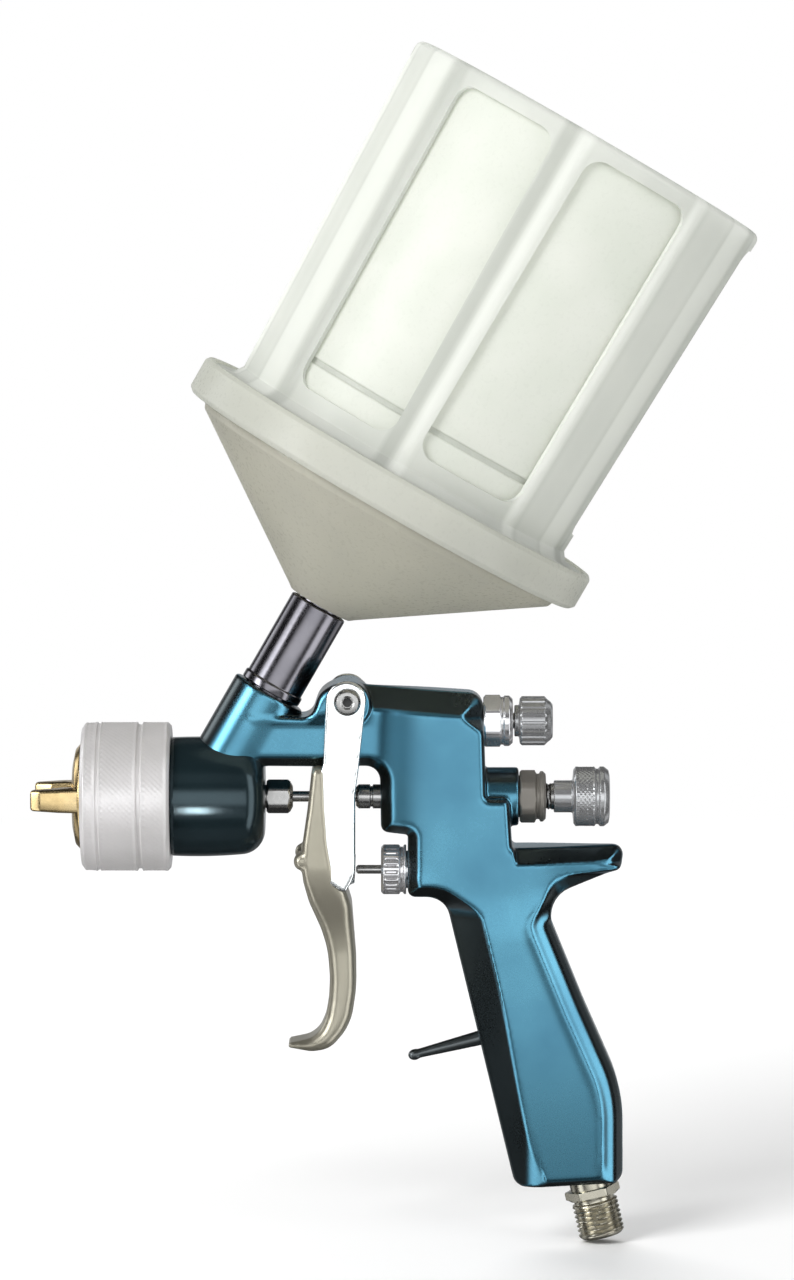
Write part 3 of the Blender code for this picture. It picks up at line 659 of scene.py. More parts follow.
def head_field(x, y, z):
    """The head with its spigot and the bores through it."""
    rho = np.hypot(y, z - SPRAY_Z)
    head = head_solid(x, y, z)
    head = np.minimum(head, bar(x, y, z, "spray", 16.2, -112.2, -100, 0.4))
    head = cut_out(head, np.maximum(bar(x, y, z, "spray", 13.6, -114, -101), 9.6 - rho))
    for way in (("spray", 6.8, -114, -104.6), ("spray", 3.6, -105, -70), ("cup", 4.0, 0, 20)):
        head = cut_out(head, bar(x, y, z, *way))
    return head


def body_field(x, y, z):
    """The rest of the casting: neck, block, tail, grip and bosses, with its bands, creases and ways."""
    flat = outline_distance(CASTING, x, z)
    width, slope, rear = bevels(x, z)
    neck = step(-x, 44, 58)
    tail = step(x, -6, 24) * step(z, 34, 44)
    half = BODY_HALF - 1.9 * neck * step(-z, -93, -88) + 0.5 * step(-z, -42, -28) - 5.6 * tail
    turned = np.clip(-26.0 - x, 0, None)
    taper = np.where(turned < 14, 0.0123 * turned ** 2, 2.41 + 0.344 * (turned - 14))
    half = half - taper * step(z, 38, 50) * (1 - neck)
    half = half - 0.0010 * np.maximum(4 - z, 0) ** 2
    side = outline_distance(SIDES, x, z)
    half = half + 0.55 * np.exp(-((side + width + 0.2) / 1.4) ** 2) * rear * step(z, -40, -34)
    field = slab(flat, y, half, EDGE)
    band = (side + width) * np.sin(slope) + (np.abs(y) - half) * np.cos(slope)
    field = -blend_in(-field, -band, 0.8)
    foot = 1.8 - (z + 41.9 - (x + 6.7) * 0.056)
    foot = foot * np.sin(SLOPE_STEEP) + (np.abs(y) - half) * np.cos(SLOPE_STEEP)
    field = -blend_in(-field, -foot, 0.8)
    rim = np.abs(y) - half + (width - RIM) * np.tan(slope)
    rim = (side + RIM) * np.sin(SLOPE_RIM) + rim * np.cos(SLOPE_RIM)
    field = -blend_in(-field, 6 * (1 - rear) - rim, 0.5)
    field = blend_in(field, slab(np.hypot(x - PIVOT[0], z - PIVOT[2] + 1.0) - 6.6, y, BODY_HALF, EDGE), 1.0)
    field = blend_in(field, np.maximum(bar(x, y, z, "cup", 10.6, 2, 34.0, 0.7), 77.4 - z), 1.0)
    field = blend_in(field, bar(x, y, z, "spray", 8.2, -26, -5.9, 0.8), 1.0)
    for way in (("cup", 4.0, 0, 20), ("cup", 7.6, 19, 37), ("spray", 3.8, -47, -33),
                ("spray", 4.6, -33.7, -4), ("spray", 6.2, -15, -3), ("spreader", 5.4, -36, -9),
                ("valve", 5.6, -41, -6), ("inlet", 6.3, 7, 27.5)):
        field = cut_out(field, bar(x, y, z, *way))
    return cut_out(field, np.hypot(x - PIVOT[0], z - PIVOT[2]) - STUD_BORE)


def hook_field(x, y, z):
    """The hook in front of the grip: a tapered rod, thickest where it is let into the casting, with a ball at its
    tip.
    """
    hook = spike(x, y, z, (-8.0, 0, 1.9), (-35.6, 0, -5.2), 2.5, 1.2)
    ball = np.sqrt((x + 35.0) ** 2 + y ** 2 + (z + 5.1) ** 2) - 1.5
    return blend_in(hook, ball, 0.6)


# ---- trigger ----

ARM = rounded([
    (-59.6, 101.5, 5.75), (-48.0, 101.5, 5.75), (-50.7, 77.0, 6), (-51.8, 69, 4), (-51.8, 47.0, 8),
    (-54.6, 42.0, 1.5), (-60.5, 46.0, 2), (-63.5, 52.0, 2), (-62.0, 74.0, 1), (-60.6, 78.2, 3),
], 8)
LEVER = rounded([
    (-63.7, 77.4, 1.9), (-64.9, 66.0, 30), (-66.5, 55.0, 20), (-66.5, 46.5, 20), (-64.6, 39.4, 20),
    (-61.2, 31.4, 30), (-59.4, 25.4, 30), (-58.8, 17.5, 30), (-59.1, 11.4, 20), (-59.9, 6.5, 12),
    (-61.6, 2.5, 8), (-64.4, 0.3, 6), (-70.2, -0.9, 0.6), (-70.6, -2.2, 0.6), (-64.0, -3.4, 8),
    (-58.8, -2.6, 10), (-54.6, 2.3, 12), (-52.6, 6.5, 20), (-51.4, 14.5, 30), (-51.5, 23.5, 30),
    (-52.7, 38.0, 8), (-54.1, 42.2, 3), (-57.1, 46.4, 8), (-58.8, 56.0, 30), (-59.5, 66.0, 20),
    (-59.9, 77.4, 1.9),
], 6)
NEEDLE_PAD = [(-60.0, 65.6), (-51.8, 65.6), (-51.8, 70.4), (-60.0, 70.4)]
VALVE_PAD = [(-60.0, 44.8), (-51.8, 44.8), (-51.8, 50.0), (-60.0, 50.0)]
SLOT = [(-70, 64.0), (-50, 64.0), (-50, 72.6), (-70, 72.6)]
ARM_OUT = 13.8


def lever_field(x, y, z):
    """The cast finger lever, whose upper part is a web across the front of the two arms."""
    half = ARM_OUT + 0.5 - 5.8 * step(-z, -50, -24)
    edge = 2.1 + 1.1 * step(-z, -50, -30)
    field = slab(outline_distance(LEVER, x, z), y, half, edge)
    ears = np.sqrt((x + 66.9) ** 2 + (np.abs(y) - 11.4) ** 2 * 0.6 + ((z - 51.0) * 0.8) ** 2) - 1.9
    field = blend_in(field, ears, 1.2)
    return cut_out(field, slab(outline_distance(SLOT, x, z), y, 2.2, 0.8), 0.6)


def arms_field(x, y, z):
    """The two flat arms, and the cross pads that push the needle collar and the air valve."""
    field = slab(outline_distance(ARM, x, z), np.abs(y) - 12.9, 0.9, 0.35)
    for pad in (NEEDLE_PAD, VALVE_PAD):
        field = blend_in(field, slab(outline_distance(pad, x, z), y, 12.6, 0.5), 0.8)
    field = cut_out(field, slab(outline_distance(SLOT, x, z), y, 2.2, 0.8), 0.6)
    return cut_out(field, np.hypot(x - PIVOT[0], z - PIVOT[2]) - STUD_BORE, 0.3)


def make_castings():
    cast_piece("gun_casting", body_field, (-106, -13, -44), (26, 13, 103), 0.62, "gun", "anodised_blue",
               ["gun_body"])
    cast_piece("hose_hook", hook_field, (-38, -4.5, -10), (-4, 4.5, 7), 0.35, "gun", "anodised_blue", (),
               "blued steel")
    cast_piece("gun_head", head_field, (-113.5, -18, 50), (-75, 18, 86), 0.7, "gun", "anodised_blue", (),
               "dark anodised")
    cast_piece("trigger_lever", lever_field, (-72, -15.5, -5), (-48, 15.5, 79), 0.6, "trigger", "nickel",
               ["trigger"], "lever nickel")
    cast_piece("trigger_arms", arms_field, (-66, -15, 40), (-45, 15, 103), 0.6, "trigger", "nickel", (),
               "bright nickel")


# ---- nozzle ----

def make_nozzle():
    knurl = diamond_knurl(84, 0.30, ((-126.9, -124.2), (-122.6, -113.0), (-110.8, -104.4)), 20.9)
    ring = [(15.2, -128.2, 0.2), (19.3, -128.2, 0.5), (20.7, -127.2, 0.6), (20.9, -123.9, 0.15),
            (20.5, -123.6, 0.1), (20.5, -123.1, 0.1), (20.9, -122.8, 0.15), (20.9, -112.7, 0.15),
            (20.2, -112.3, 0.1), (20.2, -111.5, 0.1), (20.9, -111.1, 0.15), (20.9, -104.2, 0.6),
            (20.0, -103.3, 0.4), (16.6, -103.3, 0.2), (16.6, -112.2, 0.2), (18.3, -112.2, 0.2),
            (18.3, -126.0, 0.2), (15.2, -126.0, 0.2)]
    lathe("air_cap_ring", "spray", ring, "retaining_ring", "knurled_aluminium", ["retaining_ring"],
          336, knurl, True, (-127.5, -104, 0.45))
    dome = [(13.6, -116.0, 0.3), (16.5, -116.0, 0.3), (16.5, -121.4, 0.1), (17.9, -121.4, 0.1),
            (17.9, -124.4, 0.2), (14.8, -124.4, 0.1), (14.8, -128.7, 0.8), (13.4, -130.0, 1.5),
            (9.6, -130.8, 0.6), (2.6, -130.8, 0.15), (2.6, -128.4, 0.2), (6.0, -128.0, 1),
            (13.6, -125.4, 1)]
    lathe("air_cap_disc", "spray", dome, "air_cap", "brass", ["air_cap"], 128, closed=True)
    sides = ((-1, "near"), (1, "far"))
    for side, which in sides:
        place(mesh_object("air_cap_horn_" + which, *horn_mesh(side)), "air_cap", "brass", ())
    # the air cap's holes are near-black cups: painted shade
    for k in range(6):
        turn = math.tau * (k + 0.5) / 6
        y, z = 6.2 * math.cos(turn), SPRAY_Z + 6.2 * math.sin(turn)
        painted_hole_shade("air_cap_hole_%d" % k, (-130.86, y, z), (-1, 0, 0), 0.6, "air_cap")
    for side, which in sides:
        for at in (-134.0, -138.0):
            across = 7.2 + (-at - 134.0) * 0.42
            painted_hole_shade("horn_hole_%s_%d" % (which, -at), (at, side * across, SPRAY_Z), (-0.45, -side, 0), 0.75,
                     "air_cap")


def horn_mesh(side):
    """One horn of the air cap: a tapered block with soft edges, leaning in at its tip."""
    outline = rounded([(-127.0, 14.4, 0), (-134.0, 14.2, 6), (-139.5, 13.4, 4), (-142.2, 12.3, 0.8),
                       (-142.2, 9.9, 0.8), (-137.5, 7.4, 3), (-132.6, 6.2, 3), (-127.0, 5.0, 0)], 4)
    outline = [(x, side * y) for x, y in outline]
    cx = sum(p[0] for p in outline) / len(outline)
    cy = sum(p[1] for p in outline) / len(outline)
    layers = []
    for height, inset in ((-3.3, 0.9), (-3.15, 0.45), (-2.8, 0.12), (-2.2, 0.0), (2.2, 0.0), (2.8, 0.12),
                          (3.15, 0.45), (3.3, 0.9)):
        layer = []
        for x, y in outline:
            length = math.hypot(x - cx, y - cy)
            share = max(0.0, 1 - inset / length)
            taper = 1 - 0.12 * max(0.0, (-x - 131.0) / 11.2)
            layer.append((cx + (x - cx) * share, cy + (y - cy) * share, SPRAY_Z + height * taper))
        layers.append(layer)
    points = [p for layer in layers for p in layer]
    return points, tube_faces(len(layers), len(outline))


def painted_hole_shade(name, centre, facing, radius, body):
    """A drilled hole drawn as a shallow near-black cup let into the surface, its dark a painted shade."""
    turn = Vector(facing).to_track_quat("Z", "Y").to_matrix().to_4x4()
    rings = ((radius, 0.03), (radius * 0.92, 0.05), (radius * 0.85, -0.25), (0.0, -0.3))
    count = 20
    points = [(r * math.cos(math.tau * k / count), r * math.sin(math.tau * k / count), h)
              for r, h in rings for k in range(count)]
    faces = skin_faces(len(rings), count) + [tuple(range(count))]
    hole = mesh_object(name, points, faces, Matrix.Translation(Vector(centre) * MM) @ turn)
    # the near-black seal rubber here is a painted shade for the hole's depth
    place(hole, body, "dark_rubber", ())


# ---- needle, adjusters, valve, inlet ----

def make_small_parts():
    lathe("needle_packing_nut_hex", "spray", [(1.9, -80.6, 0), (3.3, -80.6, 0.3), (3.3, -76.6, 0),
          (4.3, -76.6, 0.4), (4.75, -76.0, 0.3), (4.75, -70.6, 0.3), (4.2, -69.9, 0.3), (2.9, -69.2, 0.3),
          (1.9, -69.2, 0)], "gun", "stainless", ["needle_packing_nut"], 96, hexagonal(8.6, -76.6, -69.2),
          closed=True)
    lathe("needle_rod", "spray", [(0, -131.2), (0.45, -130.6, 0.3), (1.5, -124.5, 1), (1.5, -33.4, 0),
          (1.9, -33.2, 0), (1.9, -6.5, 0.3), (0, -6.5)], "needle", "stainless", ["fluid_needle"], 32)
    lathe("needle_pull_collar", "spray", [(1.8, -51.5, 0.2), (2.6, -51.5, 0.3), (3.4, -50.7, 0.3),
          (3.4, -47.6, 0.2), (2.9, -47.4, 0.1), (2.9, -46.9, 0.1), (3.4, -46.7, 0.2), (3.4, -33.8, 0.3),
          (1.8, -33.8, 0.2)], "needle", "stainless", ["needle_collar"], 64, closed=True)
    lathe("spreader_valve_body", "spreader", [(2.6, -24, 0.2), (5.1, -24, 0.3), (5.1, -15.8, 0),
          (6.6, -15.8, 0.3), (7.3, -15.2, 0.2), (7.3, -11.2, 0.3), (6.7, -10.9, 0.2), (6.7, -10.3, 0.2),
          (7.1, -9.9, 0.3), (7.1, -8.6, 0.5), (6.2, -7.6, 0.4), (2.6, -7.6, 0.2)], "gun", "chrome",
          ["spreader_housing"], 96, hexagonal(13.4, -15.8, -11.0), closed=True)
    lathe("spreader_valve_stem", "spreader", [(0, -34.5), (0.6, -34.3, 0.2), (2.2, -30, 0.5),
          (2.2, 1.4, 0.2), (0, 1.4)], "spreader_stem", "stainless", ["spreader_stem"], 48)
    lathe("spreader_knob_fluted", "spreader", [(0, 1.7), (2.5, 1.7, 0), (2.5, -7.1, 0.2), (4.4, -7.1, 0.3),
          (4.4, -5.9, 0.3), (6.3, -5.6, 0.4), (6.9, -5.0, 0.3), (6.9, 1.3, 0.3), (6.0, 2.2, 0.5),
          (5.4, 3.0, 0.4), (4.6, 3.6, 0.4), (1.6, 3.6, 0.2), (1.3, 3.1, 0.2), (0, 3.1)], "spreader_knob",
          "chrome", ["spreader_knob"], 240, grips(20, 0.42, -5.4, 1.7, 6.2),
          fine=(-5.6, 2.0, 0.5), look="grey chrome")
    lathe("fluid_bushing_turned", "spray", [(4.0, -14.6, 0.2), (5.9, -14.6, 0.3), (5.9, -5.6, 0),
          (6.9, -5.6, 0.3), (7.4, -5.1, 0.2), (7.4, -1.4, 0.3), (6.4, -0.9, 0.3), (6.4, -0.2, 0.2),
          (7.1, 0.2, 0.3), (7.1, 0.9, 0.4), (6.3, 1.7, 0.4), (4.9, 1.7, 0.2), (4.9, -1.0, 0),
          (4.0, -1.0, 0)], "gun", "brass", ["fluid_valve_bushing"], 96, hexagonal(13.6, -5.6, -1.2),
          closed=True, look="dull bronze")
    lathe("needle_stop_rod", "spray", [(0, 2.0), (2.4, 2.0, 0), (2.4, -12.2, 0.2), (3.7, -12.2, 0.3),
          (3.7, 15.6, 0.2), (0, 15.6)], "fluid_screw", "stainless", ["needle_stop_screw"], 96,
          thread(1.0, 0.35, -12, 3.6, 3.7), fine=(-12.2, 4.0, 0.17))
    lathe("fluid_knob_knurled", "spray", [(0, 15.9), (4.0, 15.9, 0), (4.0, 4.0, 0.2), (4.5, 4.0, 0.3),
          (4.5, 9.2, 0.5), (7.6, 9.5, 0.4), (8.4, 10.1, 0.3), (8.4, 15.3, 0.3), (7.8, 15.8, 0.15),
          (7.8, 16.4, 0.15), (8.4, 16.9, 0.3), (8.4, 18.0, 0.8), (7.4, 19.3, 0.5), (6.0, 19.6, 0.4),
          (5.4, 19.2, 0.3), (0, 19.2)], "fluid_knob", "chrome", ["fluid_knob"], 256,
          diamond_knurl(44, 0.26, ((10.4, 15.2),), 8.4), fine=(9.6, 15.6, 0.35), look="grey chrome")
    lathe("air_valve_front_nut", "valve", [(1.6, -44.5, 0.1), (2.6, -44.5, 0.2), (3.0, -43.9, 0.2),
          (4.8, -43.9, 0.3), (5.2, -44.5, 0.3), (6.3, -44.5, 0.5), (7.0, -43.8, 0.3), (7.0, -39.4, 0.3),
          (6.4, -39.0, 0.15), (6.4, -38.4, 0.15), (7.0, -38.0, 0.3), (7.0, -37.4, 0.2), (5.3, -37.4, 0),
          (5.3, -34.0, 0.3), (1.6, -34, 0.2)], "gun", "nickel", ["air_valve_nut"], 240,
          grips(24, 0.35, -43.6, -39.6, 6.6), closed=True, fine=(-43.9, -39.4, 0.5), look="chrome")
    lathe("air_valve_rod", "valve", [(0, -51.5), (0.7, -51.5, 0.3), (1.25, -51.0, 0.3), (1.25, -24.9, 0.1),
          (0, -24.9)], "air_valve", "stainless", ["air_valve_stem"], 32)
    lathe("air_inlet_nipple", "inlet", [(4.0, 0, 0.2), (5.5, 0, 0.4), (6.55, 1.0, 0.3), (6.55, 9.9, 0.2),
          (5.7, 10.3, 0.2), (5.7, 11.3, 0.1), (6.6, 11.3, 0.3), (7.8, 12.0, 0.2), (7.8, 14.0, 0.3),
          (5.9, 14.2, 0), (5.9, 27, 0.2), (4.0, 27, 0.2)], "gun", "nickel", ["inlet_fitting"], 144,
          both(thread(1.337, 0.75, 0.8, 10.0, 6.55), hexagonal(13.6, 11.2, 14.1)), closed=True,
          fine=(0.9, 10.0, 0.2))


def spring(name, axis, radius, wire, start, end, turns, replaced=()):
    """A compression spring wound between two stations on a named axis."""
    per_turn, sides = 32, 10
    count = turns * per_turn
    rise = (end - start - 2 * wire) / (math.tau * turns * radius)
    lean = math.hypot(1, rise)
    points = []
    for k in range(count + 1):
        turn = math.tau * k / per_turn
        out = np.array((math.cos(turn), math.sin(turn), 0.0))
        up = np.array((rise * math.sin(turn), -rise * math.cos(turn), 1.0)) / lean
        centre = out * radius + np.array((0, 0, start + wire + (end - start - 2 * wire) * k / count))
        for side in range(sides):
            way = math.tau * side / sides
            points.append(tuple(centre + (out * math.cos(way) + up * math.sin(way)) * wire))
    made = mesh_object(name, points, tube_faces(count + 1, sides), axis_matrix(axis), 60)
    place(made, "gun", "spring_steel", replaced)
    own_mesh(made)


def make_springs():
    """The needle presses the front of its spring and the screw its rear, so that spring is two halves."""
    front, rear, wire, gap = -31.1, -12.6, 0.45, 0.03
    middle = (front + rear) / 2
    spring("needle_spring_front", "spray", 3.2, wire, front, middle - gap, 3,
           ["needle_spring"])
    spring("needle_spring_rear", "spray", 3.2, wire, middle + gap, rear, 3)
    spring("air_valve_spring_coil", "valve", 3.4, wire, -21.3, -6.6, 5,
           ["air_valve_spring"])


def make_pivot():
    """The stud's domed head with its hexagon socket on the near side, and the screw on the far side."""
    near = [(0, 13.6), (2.6, 13.6, 0), (2.6, 14.1, 0), (3.7, 14.1, 0.2), (3.7, 15.1, 0.6), (3.0, 15.9, 0.4),
            (1.95, 16.0, 0.1), (1.7, 15.8, 0), (1.68, 14.3, 0.05), (0, 14.2)]

    def socket(radius, station, angle):
        inside = (radius < 1.75) & (station > 14.1)
        return np.where(inside, np.minimum(radius, hexagon(1.45, angle)), radius)

    lathe("trigger_stud_head", "pivot", near, "gun", "stainless", ["trigger_stud"], 96, socket)
    # a near-black disc at the socket's bottom: a painted shade in the socket
    painted_hole_shade("stud_socket_shade", (PIVOT[0], -14.8, PIVOT[2]), (0, -1, 0), 1.25, "gun")
    shank = [(0, -14.0), (2.6, -14.0, 0.2), (2.6, 13.7, 0), (0, 13.7)]
    lathe("trigger_stud_shank", "pivot", shank, "gun", "stainless", (), 48)
    far = [(0, -14.0), (2.2, -14.05, 0), (3.7, -14.1, 0.1), (3.7, -15.3, 0.4), (3.2, -15.95, 0.4), (0, -16.0)]
    lathe("trigger_screw_head", "pivot", far, "gun", "stainless", ["trigger_screw"], 96)


# ---- cup ----

FLANGE_HIGH, FRAME_TOP, FRAME_LOW_R, FRAME_TOP_R, WALL = 107.0, 212.6, 51.5, 54.8, 1.8
WINDOW_LOW, WINDOW_HIGH, WINDOW_ARC, RIB_ARC = 114.5, 207.6, 37.0, 9.0
BEADS = ((2.5, 2.0, 0.6), (43.2, 2.0, 0.6), (-43.6, 2.0, 0.5))  # turn from a pair's middle, width, height


def frame_radius(station):
    return FRAME_LOW_R + (FRAME_TOP_R - FRAME_LOW_R) * (station - FLANGE_HIGH) / (FRAME_TOP - FLANGE_HIGH)


def make_cup():
    lathe("feed_tube", "cup", [(5.0, 20.4, 0.2), (7.3, 20.4, 0.3), (7.3, 34.4, 0), (8.9, 34.4, 0.4),
          (8.9, 36.6, 0.4), (8.4, 37.0, 0.3), (8.4, 61.6, 0.5), (6.9, 62.0, 0), (6.9, 69.4, 0.3),
          (5.0, 69.4, 0.2)], "gun", "chrome", ["feed_adapter"], 128, closed=True, look="tube steel")
    lathe("cone_lid", "cup", [(7.3, 62.4, 0.2), (9.3, 62.4, 0.5), (11.2, 63.8, 2), (55.4, 94.0, 1.5),
          (56.0, 95.5, 0.5), (56.0, 97.9, 0), (59.0, 97.9, 0.3), (59.0, 99.9, 0.3), (54.2, 99.9, 0.3),
          (54.2, 95.2, 1.5), (11.2, 65.8, 1), (9.4, 65.8, 0.3), (9.4, 70, 0.3), (7.3, 70, 0.3)], "cup_lid",
          "lid_plastic", ["cup_lid"], 160, closed=True)
    lathe("lock_collar_rim", "cup", [(56.4, 96.3, 0.3), (60.6, 96.3, 1.2), (61.9, 97.6, 0.8),
          (61.9, 105.9, 0.9), (61.0, 107.0, 0.6), (59.4, 107.0, 0.3), (59.4, 97.6, 0.2), (56.4, 97.6, 0.3)],
          "lock_collar", "lid_plastic", ["lock_collar"], 192, closed=True, look="collar_plastic")
    make_liner()
    make_frame()


def make_liner():
    """The liner, a little smaller than the frame all round, with a shallow groove near its mouth."""
    inset = WALL + 0.3
    mouth, end = frame_radius(102) - inset, frame_radius(FRAME_TOP - inset) - inset

    def wall(station):
        return mouth + (end - mouth) * (station - 101.4) / (210.5 - 101.4)

    liner = [(0, 209.4), (end - 1.1, 209.4, 3), (mouth - 1.1, 100.3, 0.2), (mouth, 100.3, 0.2),
             (mouth, 101.4, 0), (wall(120.8), 120.8, 0.3), (wall(121.3) - 0.7, 121.3, 0.2),
             (wall(122.5) - 0.7, 122.5, 0.2), (wall(123.0), 123.0, 0.3), (end, 210.5, 4), (0, 210.5)]
    lathe("cup_liner_skin", "cup", liner, "cup", "liner_plastic", ["cup_liner"], 160)
    lip = [(mouth - 0.3, 100.4, 0), (58.6, 100.3, 0.3), (58.6, 101.4, 0.3), (mouth - 0.3, 101.3, 0)]
    lathe("cup_liner_lip", "cup", lip, "cup", "liner_plastic", (), 160, closed=True)


def window_beads(radius, station, angle):
    """A shape that raises low beads beside the windows."""
    turn = (np.degrees(angle) - PAIR_TURN + 60) % 120 - 60
    long = step(station, WINDOW_LOW - 5, WINDOW_LOW - 1) * step(-station, -WINDOW_HIGH - 2, -WINDOW_HIGH)
    outer = radius > frame_radius(station) - 0.4
    for middle, width, height in BEADS:
        radius = radius + height * np.clip(1 - ((turn - middle) / width) ** 2, 0, 1) * long * outer
    return radius


def make_frame():
    """The windowed frame: a shell with pairs of round-cornered windows, ribs between them and a rim."""
    top, low = frame_radius(FRAME_TOP - WALL), frame_radius(101.7)
    profile = [(3.0, FRAME_TOP - WALL, 0.2), (top - WALL, FRAME_TOP - WALL, 2.0), (low - WALL, 101.7, 0.2),
               (low, 101.7, 0.2), (FRAME_TOP_R, FRAME_TOP, 2.2), (3.0, FRAME_TOP, 0.3)]
    flange = [(low - 0.3, 101.8, 0), (59.1, 101.7, 0.3), (59.1, 106.4, 0.5), (53.5, 106.8, 2.0),
              (frame_radius(109.8) - 0.2, 109.8, 0), (low - 0.3, 109.5, 0)]
    lathe("cup_frame_flange", "cup", flange, "cup", "frame_plastic", (), 192, closed=True)
    frame_shell = lathe("cup_frame_shell", "cup", profile, "cup", "frame_plastic", ["cup_frame"], 360,
                        window_beads, closed=True, fine=(108, 210, 4.0))
    cutters = [window_block(PAIR_TURN + 360 / PAIRS * pair + side * (WINDOW_ARC + RIB_ARC) / 2)
               for pair in range(PAIRS) for side in (-1, 1)]
    for cutter in cutters:
        step_made = frame_shell.modifiers.new("Window", "BOOLEAN")
        step_made.operation = "DIFFERENCE"
        step_made.solver = "EXACT"
        step_made.object = cutter
    apply_modifiers(frame_shell)
    for cutter in cutters:
        bpy.data.objects.remove(cutter)


def apply_modifiers(obj):
    """Keeps what the modifiers make as the piece's own mesh."""
    bpy.context.view_layer.update()
    graph = bpy.context.evaluated_depsgraph_get()
    made = bpy.data.meshes.new_from_object(obj.evaluated_get(graph))
    obj.modifiers.clear()
    obj.data = made
    made.shade_smooth()
    made.set_sharp_from_angle(angle=math.radians(38))


def window_block(middle):
    """A block with rounded corners that cuts one window, its sides square to the frame's wall."""
    half = FRAME_LOW_R * math.sin(math.radians(WINDOW_ARC / 2))
    outline = rounded([(-half, WINDOW_LOW, 5), (half, WINDOW_LOW, 5), (half, WINDOW_HIGH, 5),
                       (-half, WINDOW_HIGH, 5)], 8)
    near, far = 40.0, 62.0
    points = [(near, a, b) for a, b in outline] + [(far, a, b) for a, b in outline]
    place_at = axis_matrix("cup") @ Matrix.Rotation(math.radians(middle), 4, "Z")
    return mesh_object("window", points, tube_faces(2, len(outline)), place_at)


# ---- light, floor and camera ----

# Softboxes round the gun, as degrees of turn from straight ahead (left, right), degrees of rise (low, high),
# how soft their edges are, and how bright they are. Each has a twin behind the gun.
SOFTBOXES = (
    (-24, 28, -7.5, 12, 8, 1.9),
    (-30, 30, -34, -20, 6, 0.55),
    (48, 68, -50, 45, 6, 2.6),
    (-68, -50, -50, 45, 6, 2.2),
    (-66, -50, 6, 24, 4, 7.0),
    (-90, 90, -90, -62, 8, 0.16),
    (-70, 70, 34, 48, 6, 0.22),
)
BEHIND = 0.28  # how bright each twin is beside its box


def area_light(name, place_at, target, width, height, power, shiny=False):
    data = bpy.data.lights.new(name, "AREA")
    data.shape = "RECTANGLE"
    data.size, data.size_y = width, height
    data.energy = power
    obj = link_object(name, data)
    obj.location = place_at
    obj.rotation_euler = (Vector(target) - Vector(place_at)).to_track_quat("-Z", "Y").to_euler()
    obj.visible_glossy = shiny
    obj.visible_diffuse = not shiny
    return obj


def make_world():
    """White behind the gun, dim for matt surfaces, and a dark room with softboxes for shiny ones."""
    world = bpy.data.worlds.new("room")
    bpy.context.scene.world = world
    world.use_nodes = True
    n = Nodes(world.node_tree)
    path = n.add("ShaderNodeLightPath")
    way = n.add("ShaderNodeTexCoord").outputs["Generated"]
    axes = n.parts(way)
    facing = n.maths("ABSOLUTE", axes["Y"])
    side = n.ramp(axes["Y"], -0.05, 0.05, 1.0, BEHIND)
    turn = n.maths("DEGREES", n.maths("ARCTAN2", axes["X"], facing))
    rise = n.maths("DEGREES", n.maths("ARCSINE", axes["Z"]))
    light = n.ramp(rise, -90, 90, 0.03, 0.02)
    for left, right, low, high, soft, power in SOFTBOXES:
        box = n.maths("MULTIPLY", n.band(turn, left, right, soft), n.band(rise, low, high, soft))
        light = n.maths("ADD", light, n.maths("MULTIPLY", box, n.maths("MULTIPLY", side, power)))
    dim = n.add("ShaderNodeBackground", {"Color": (1, 1, 1, 1), "Strength": 0.40})
    room = n.add("ShaderNodeBackground", {"Color": (0.95, 0.98, 1.0, 1), "Strength": light})
    white = n.add("ShaderNodeBackground", {"Color": (1, 1, 1, 1), "Strength": 1.0})
    seen = n.maths("MAXIMUM", path.outputs["Is Camera Ray"], path.outputs["Is Transmission Ray"])
    glossy = path.outputs["Is Glossy Ray"]
    shine = n.add("ShaderNodeMixShader", {0: glossy, 1: dim.outputs[0], 2: room.outputs[0]})
    out = n.add("ShaderNodeMixShader", {0: seen, 1: shine.outputs[0], 2: white.outputs[0]})
    n.add("ShaderNodeOutputWorld", {"Surface": out.outputs[0]})


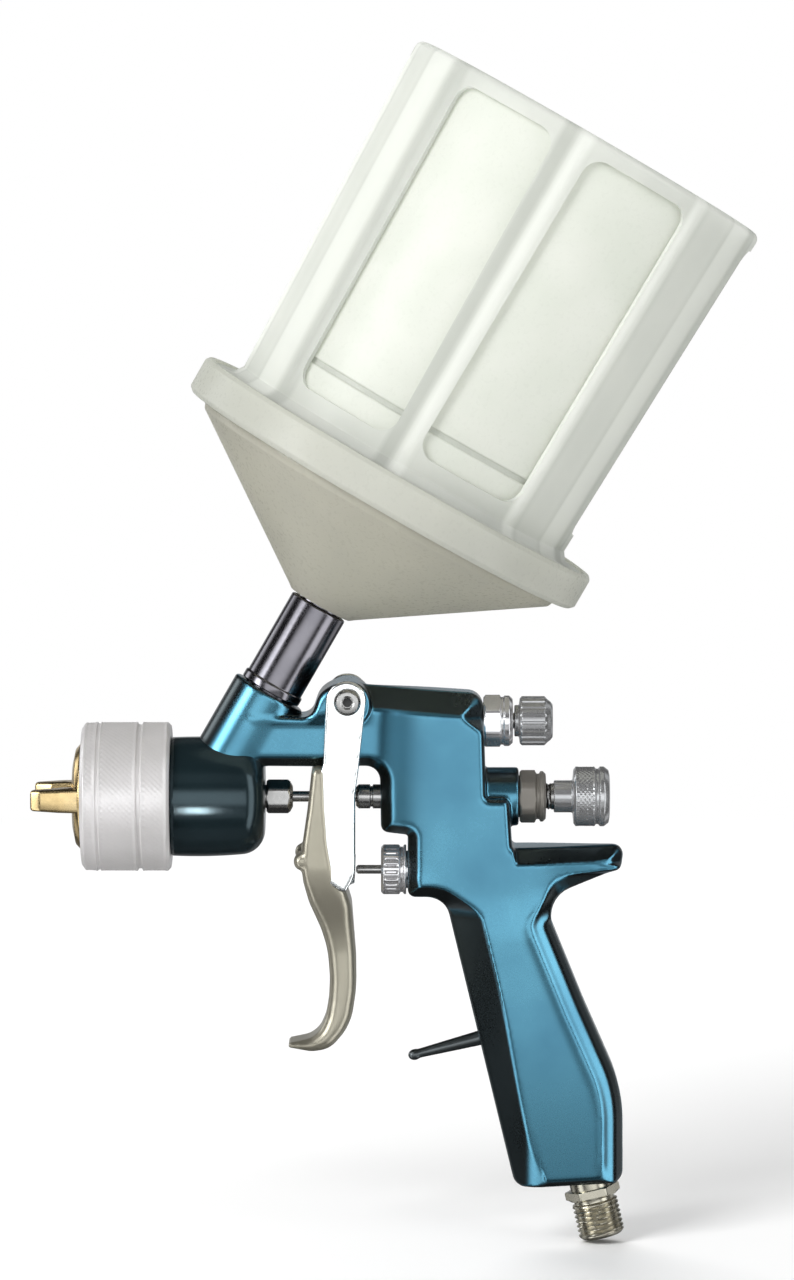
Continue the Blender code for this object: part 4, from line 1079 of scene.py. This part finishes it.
def make_floor(lowest):
    """A pale floor that is white far away, so that it has no edge against the white room."""
    size = 12.0
    mesh = bpy.data.meshes.new("floor")
    corners = [(-size, -size, 0), (size, -size, 0), (size, size, 0), (-size, size, 0)]
    mesh.from_pydata(corners, [], [(0, 1, 2, 3)])
    floor = link_object("floor", mesh)
    floor.location = (0, 0, lowest)
    material, n = new_material("pale floor")
    where = n.add("ShaderNodeTexCoord").outputs["Object"]
    away = n.add("ShaderNodeVectorMath", {0: where}, operation="LENGTH").outputs["Value"]
    far = n.ramp(away, 0.25, 1.1)
    matt = n.add("ShaderNodeBsdfDiffuse", {"Color": (0.93, 0.93, 0.93, 1)})
    white = n.add("ShaderNodeEmission", {"Color": (1, 1, 1, 1), "Strength": 1.0})
    mixed = n.add("ShaderNodeMixShader", {0: far, 1: matt.outputs[0], 2: white.outputs[0]})
    n.add("ShaderNodeOutputMaterial", {"Surface": mixed.outputs[0]})
    mesh.materials.append(material)
    floor.visible_glossy = False


def make_camera():
    distance, rise, view_height = 1.6, math.radians(4.5), 0.3584
    target = Vector((-0.040, 0, 0.112))
    data = bpy.data.cameras.new("camera")
    data.sensor_width = 36
    data.lens = data.sensor_width * distance / view_height
    camera = link_object("camera", data)
    back = Vector((0, -math.cos(rise), math.sin(rise)))
    camera.location = target + back * distance
    camera.rotation_euler = (-back).to_track_quat("-Z", "Y").to_euler()
    bpy.context.scene.camera = camera


def make_stage():
    scene = bpy.context.scene
    scene.view_settings.view_transform = "Standard"
    make_world()
    make_floor(CAD_BOX[0][2] - 0.0005)
    area_light("key", (-0.9, -1.1, 0.95), (0, 0, 0.12), 0.7, 0.9, 21)
    area_light("fill", (1.1, -0.8, 0.4), (0, 0, 0.12), 0.6, 0.8, 3.2)
    glint = area_light("glint", (-0.135, -1.1, -0.37), (-0.095, 0, 0.066), 0.10, 0.24, 3.0, True)
    lit_by_glint = bpy.data.collections.new("lit by the glint")
    lit_by_glint.objects.link(bpy.data.objects["gun_head"])
    glint.light_linking.receiver_collection = lit_by_glint
    area_light("back", (-0.3, 1.2, 0.8), (0, 0, 0.2), 1.0, 0.6, 12)
    make_camera()


def finish_inner_nodes():
    """The CAD nodes that stay get their slot's own finish."""
    slots = {part["node"]: part["material_slot"] for part in frame["record"]["subparts"]}
    for name, node in frame["nodes"].items():
        node.data.materials.clear()
        node.data.materials.append(MATERIALS[slots[name]])


finish_inner_nodes()
make_castings()
make_nozzle()
make_small_parts()
make_springs()
make_pivot()
make_cup()
make_stage()
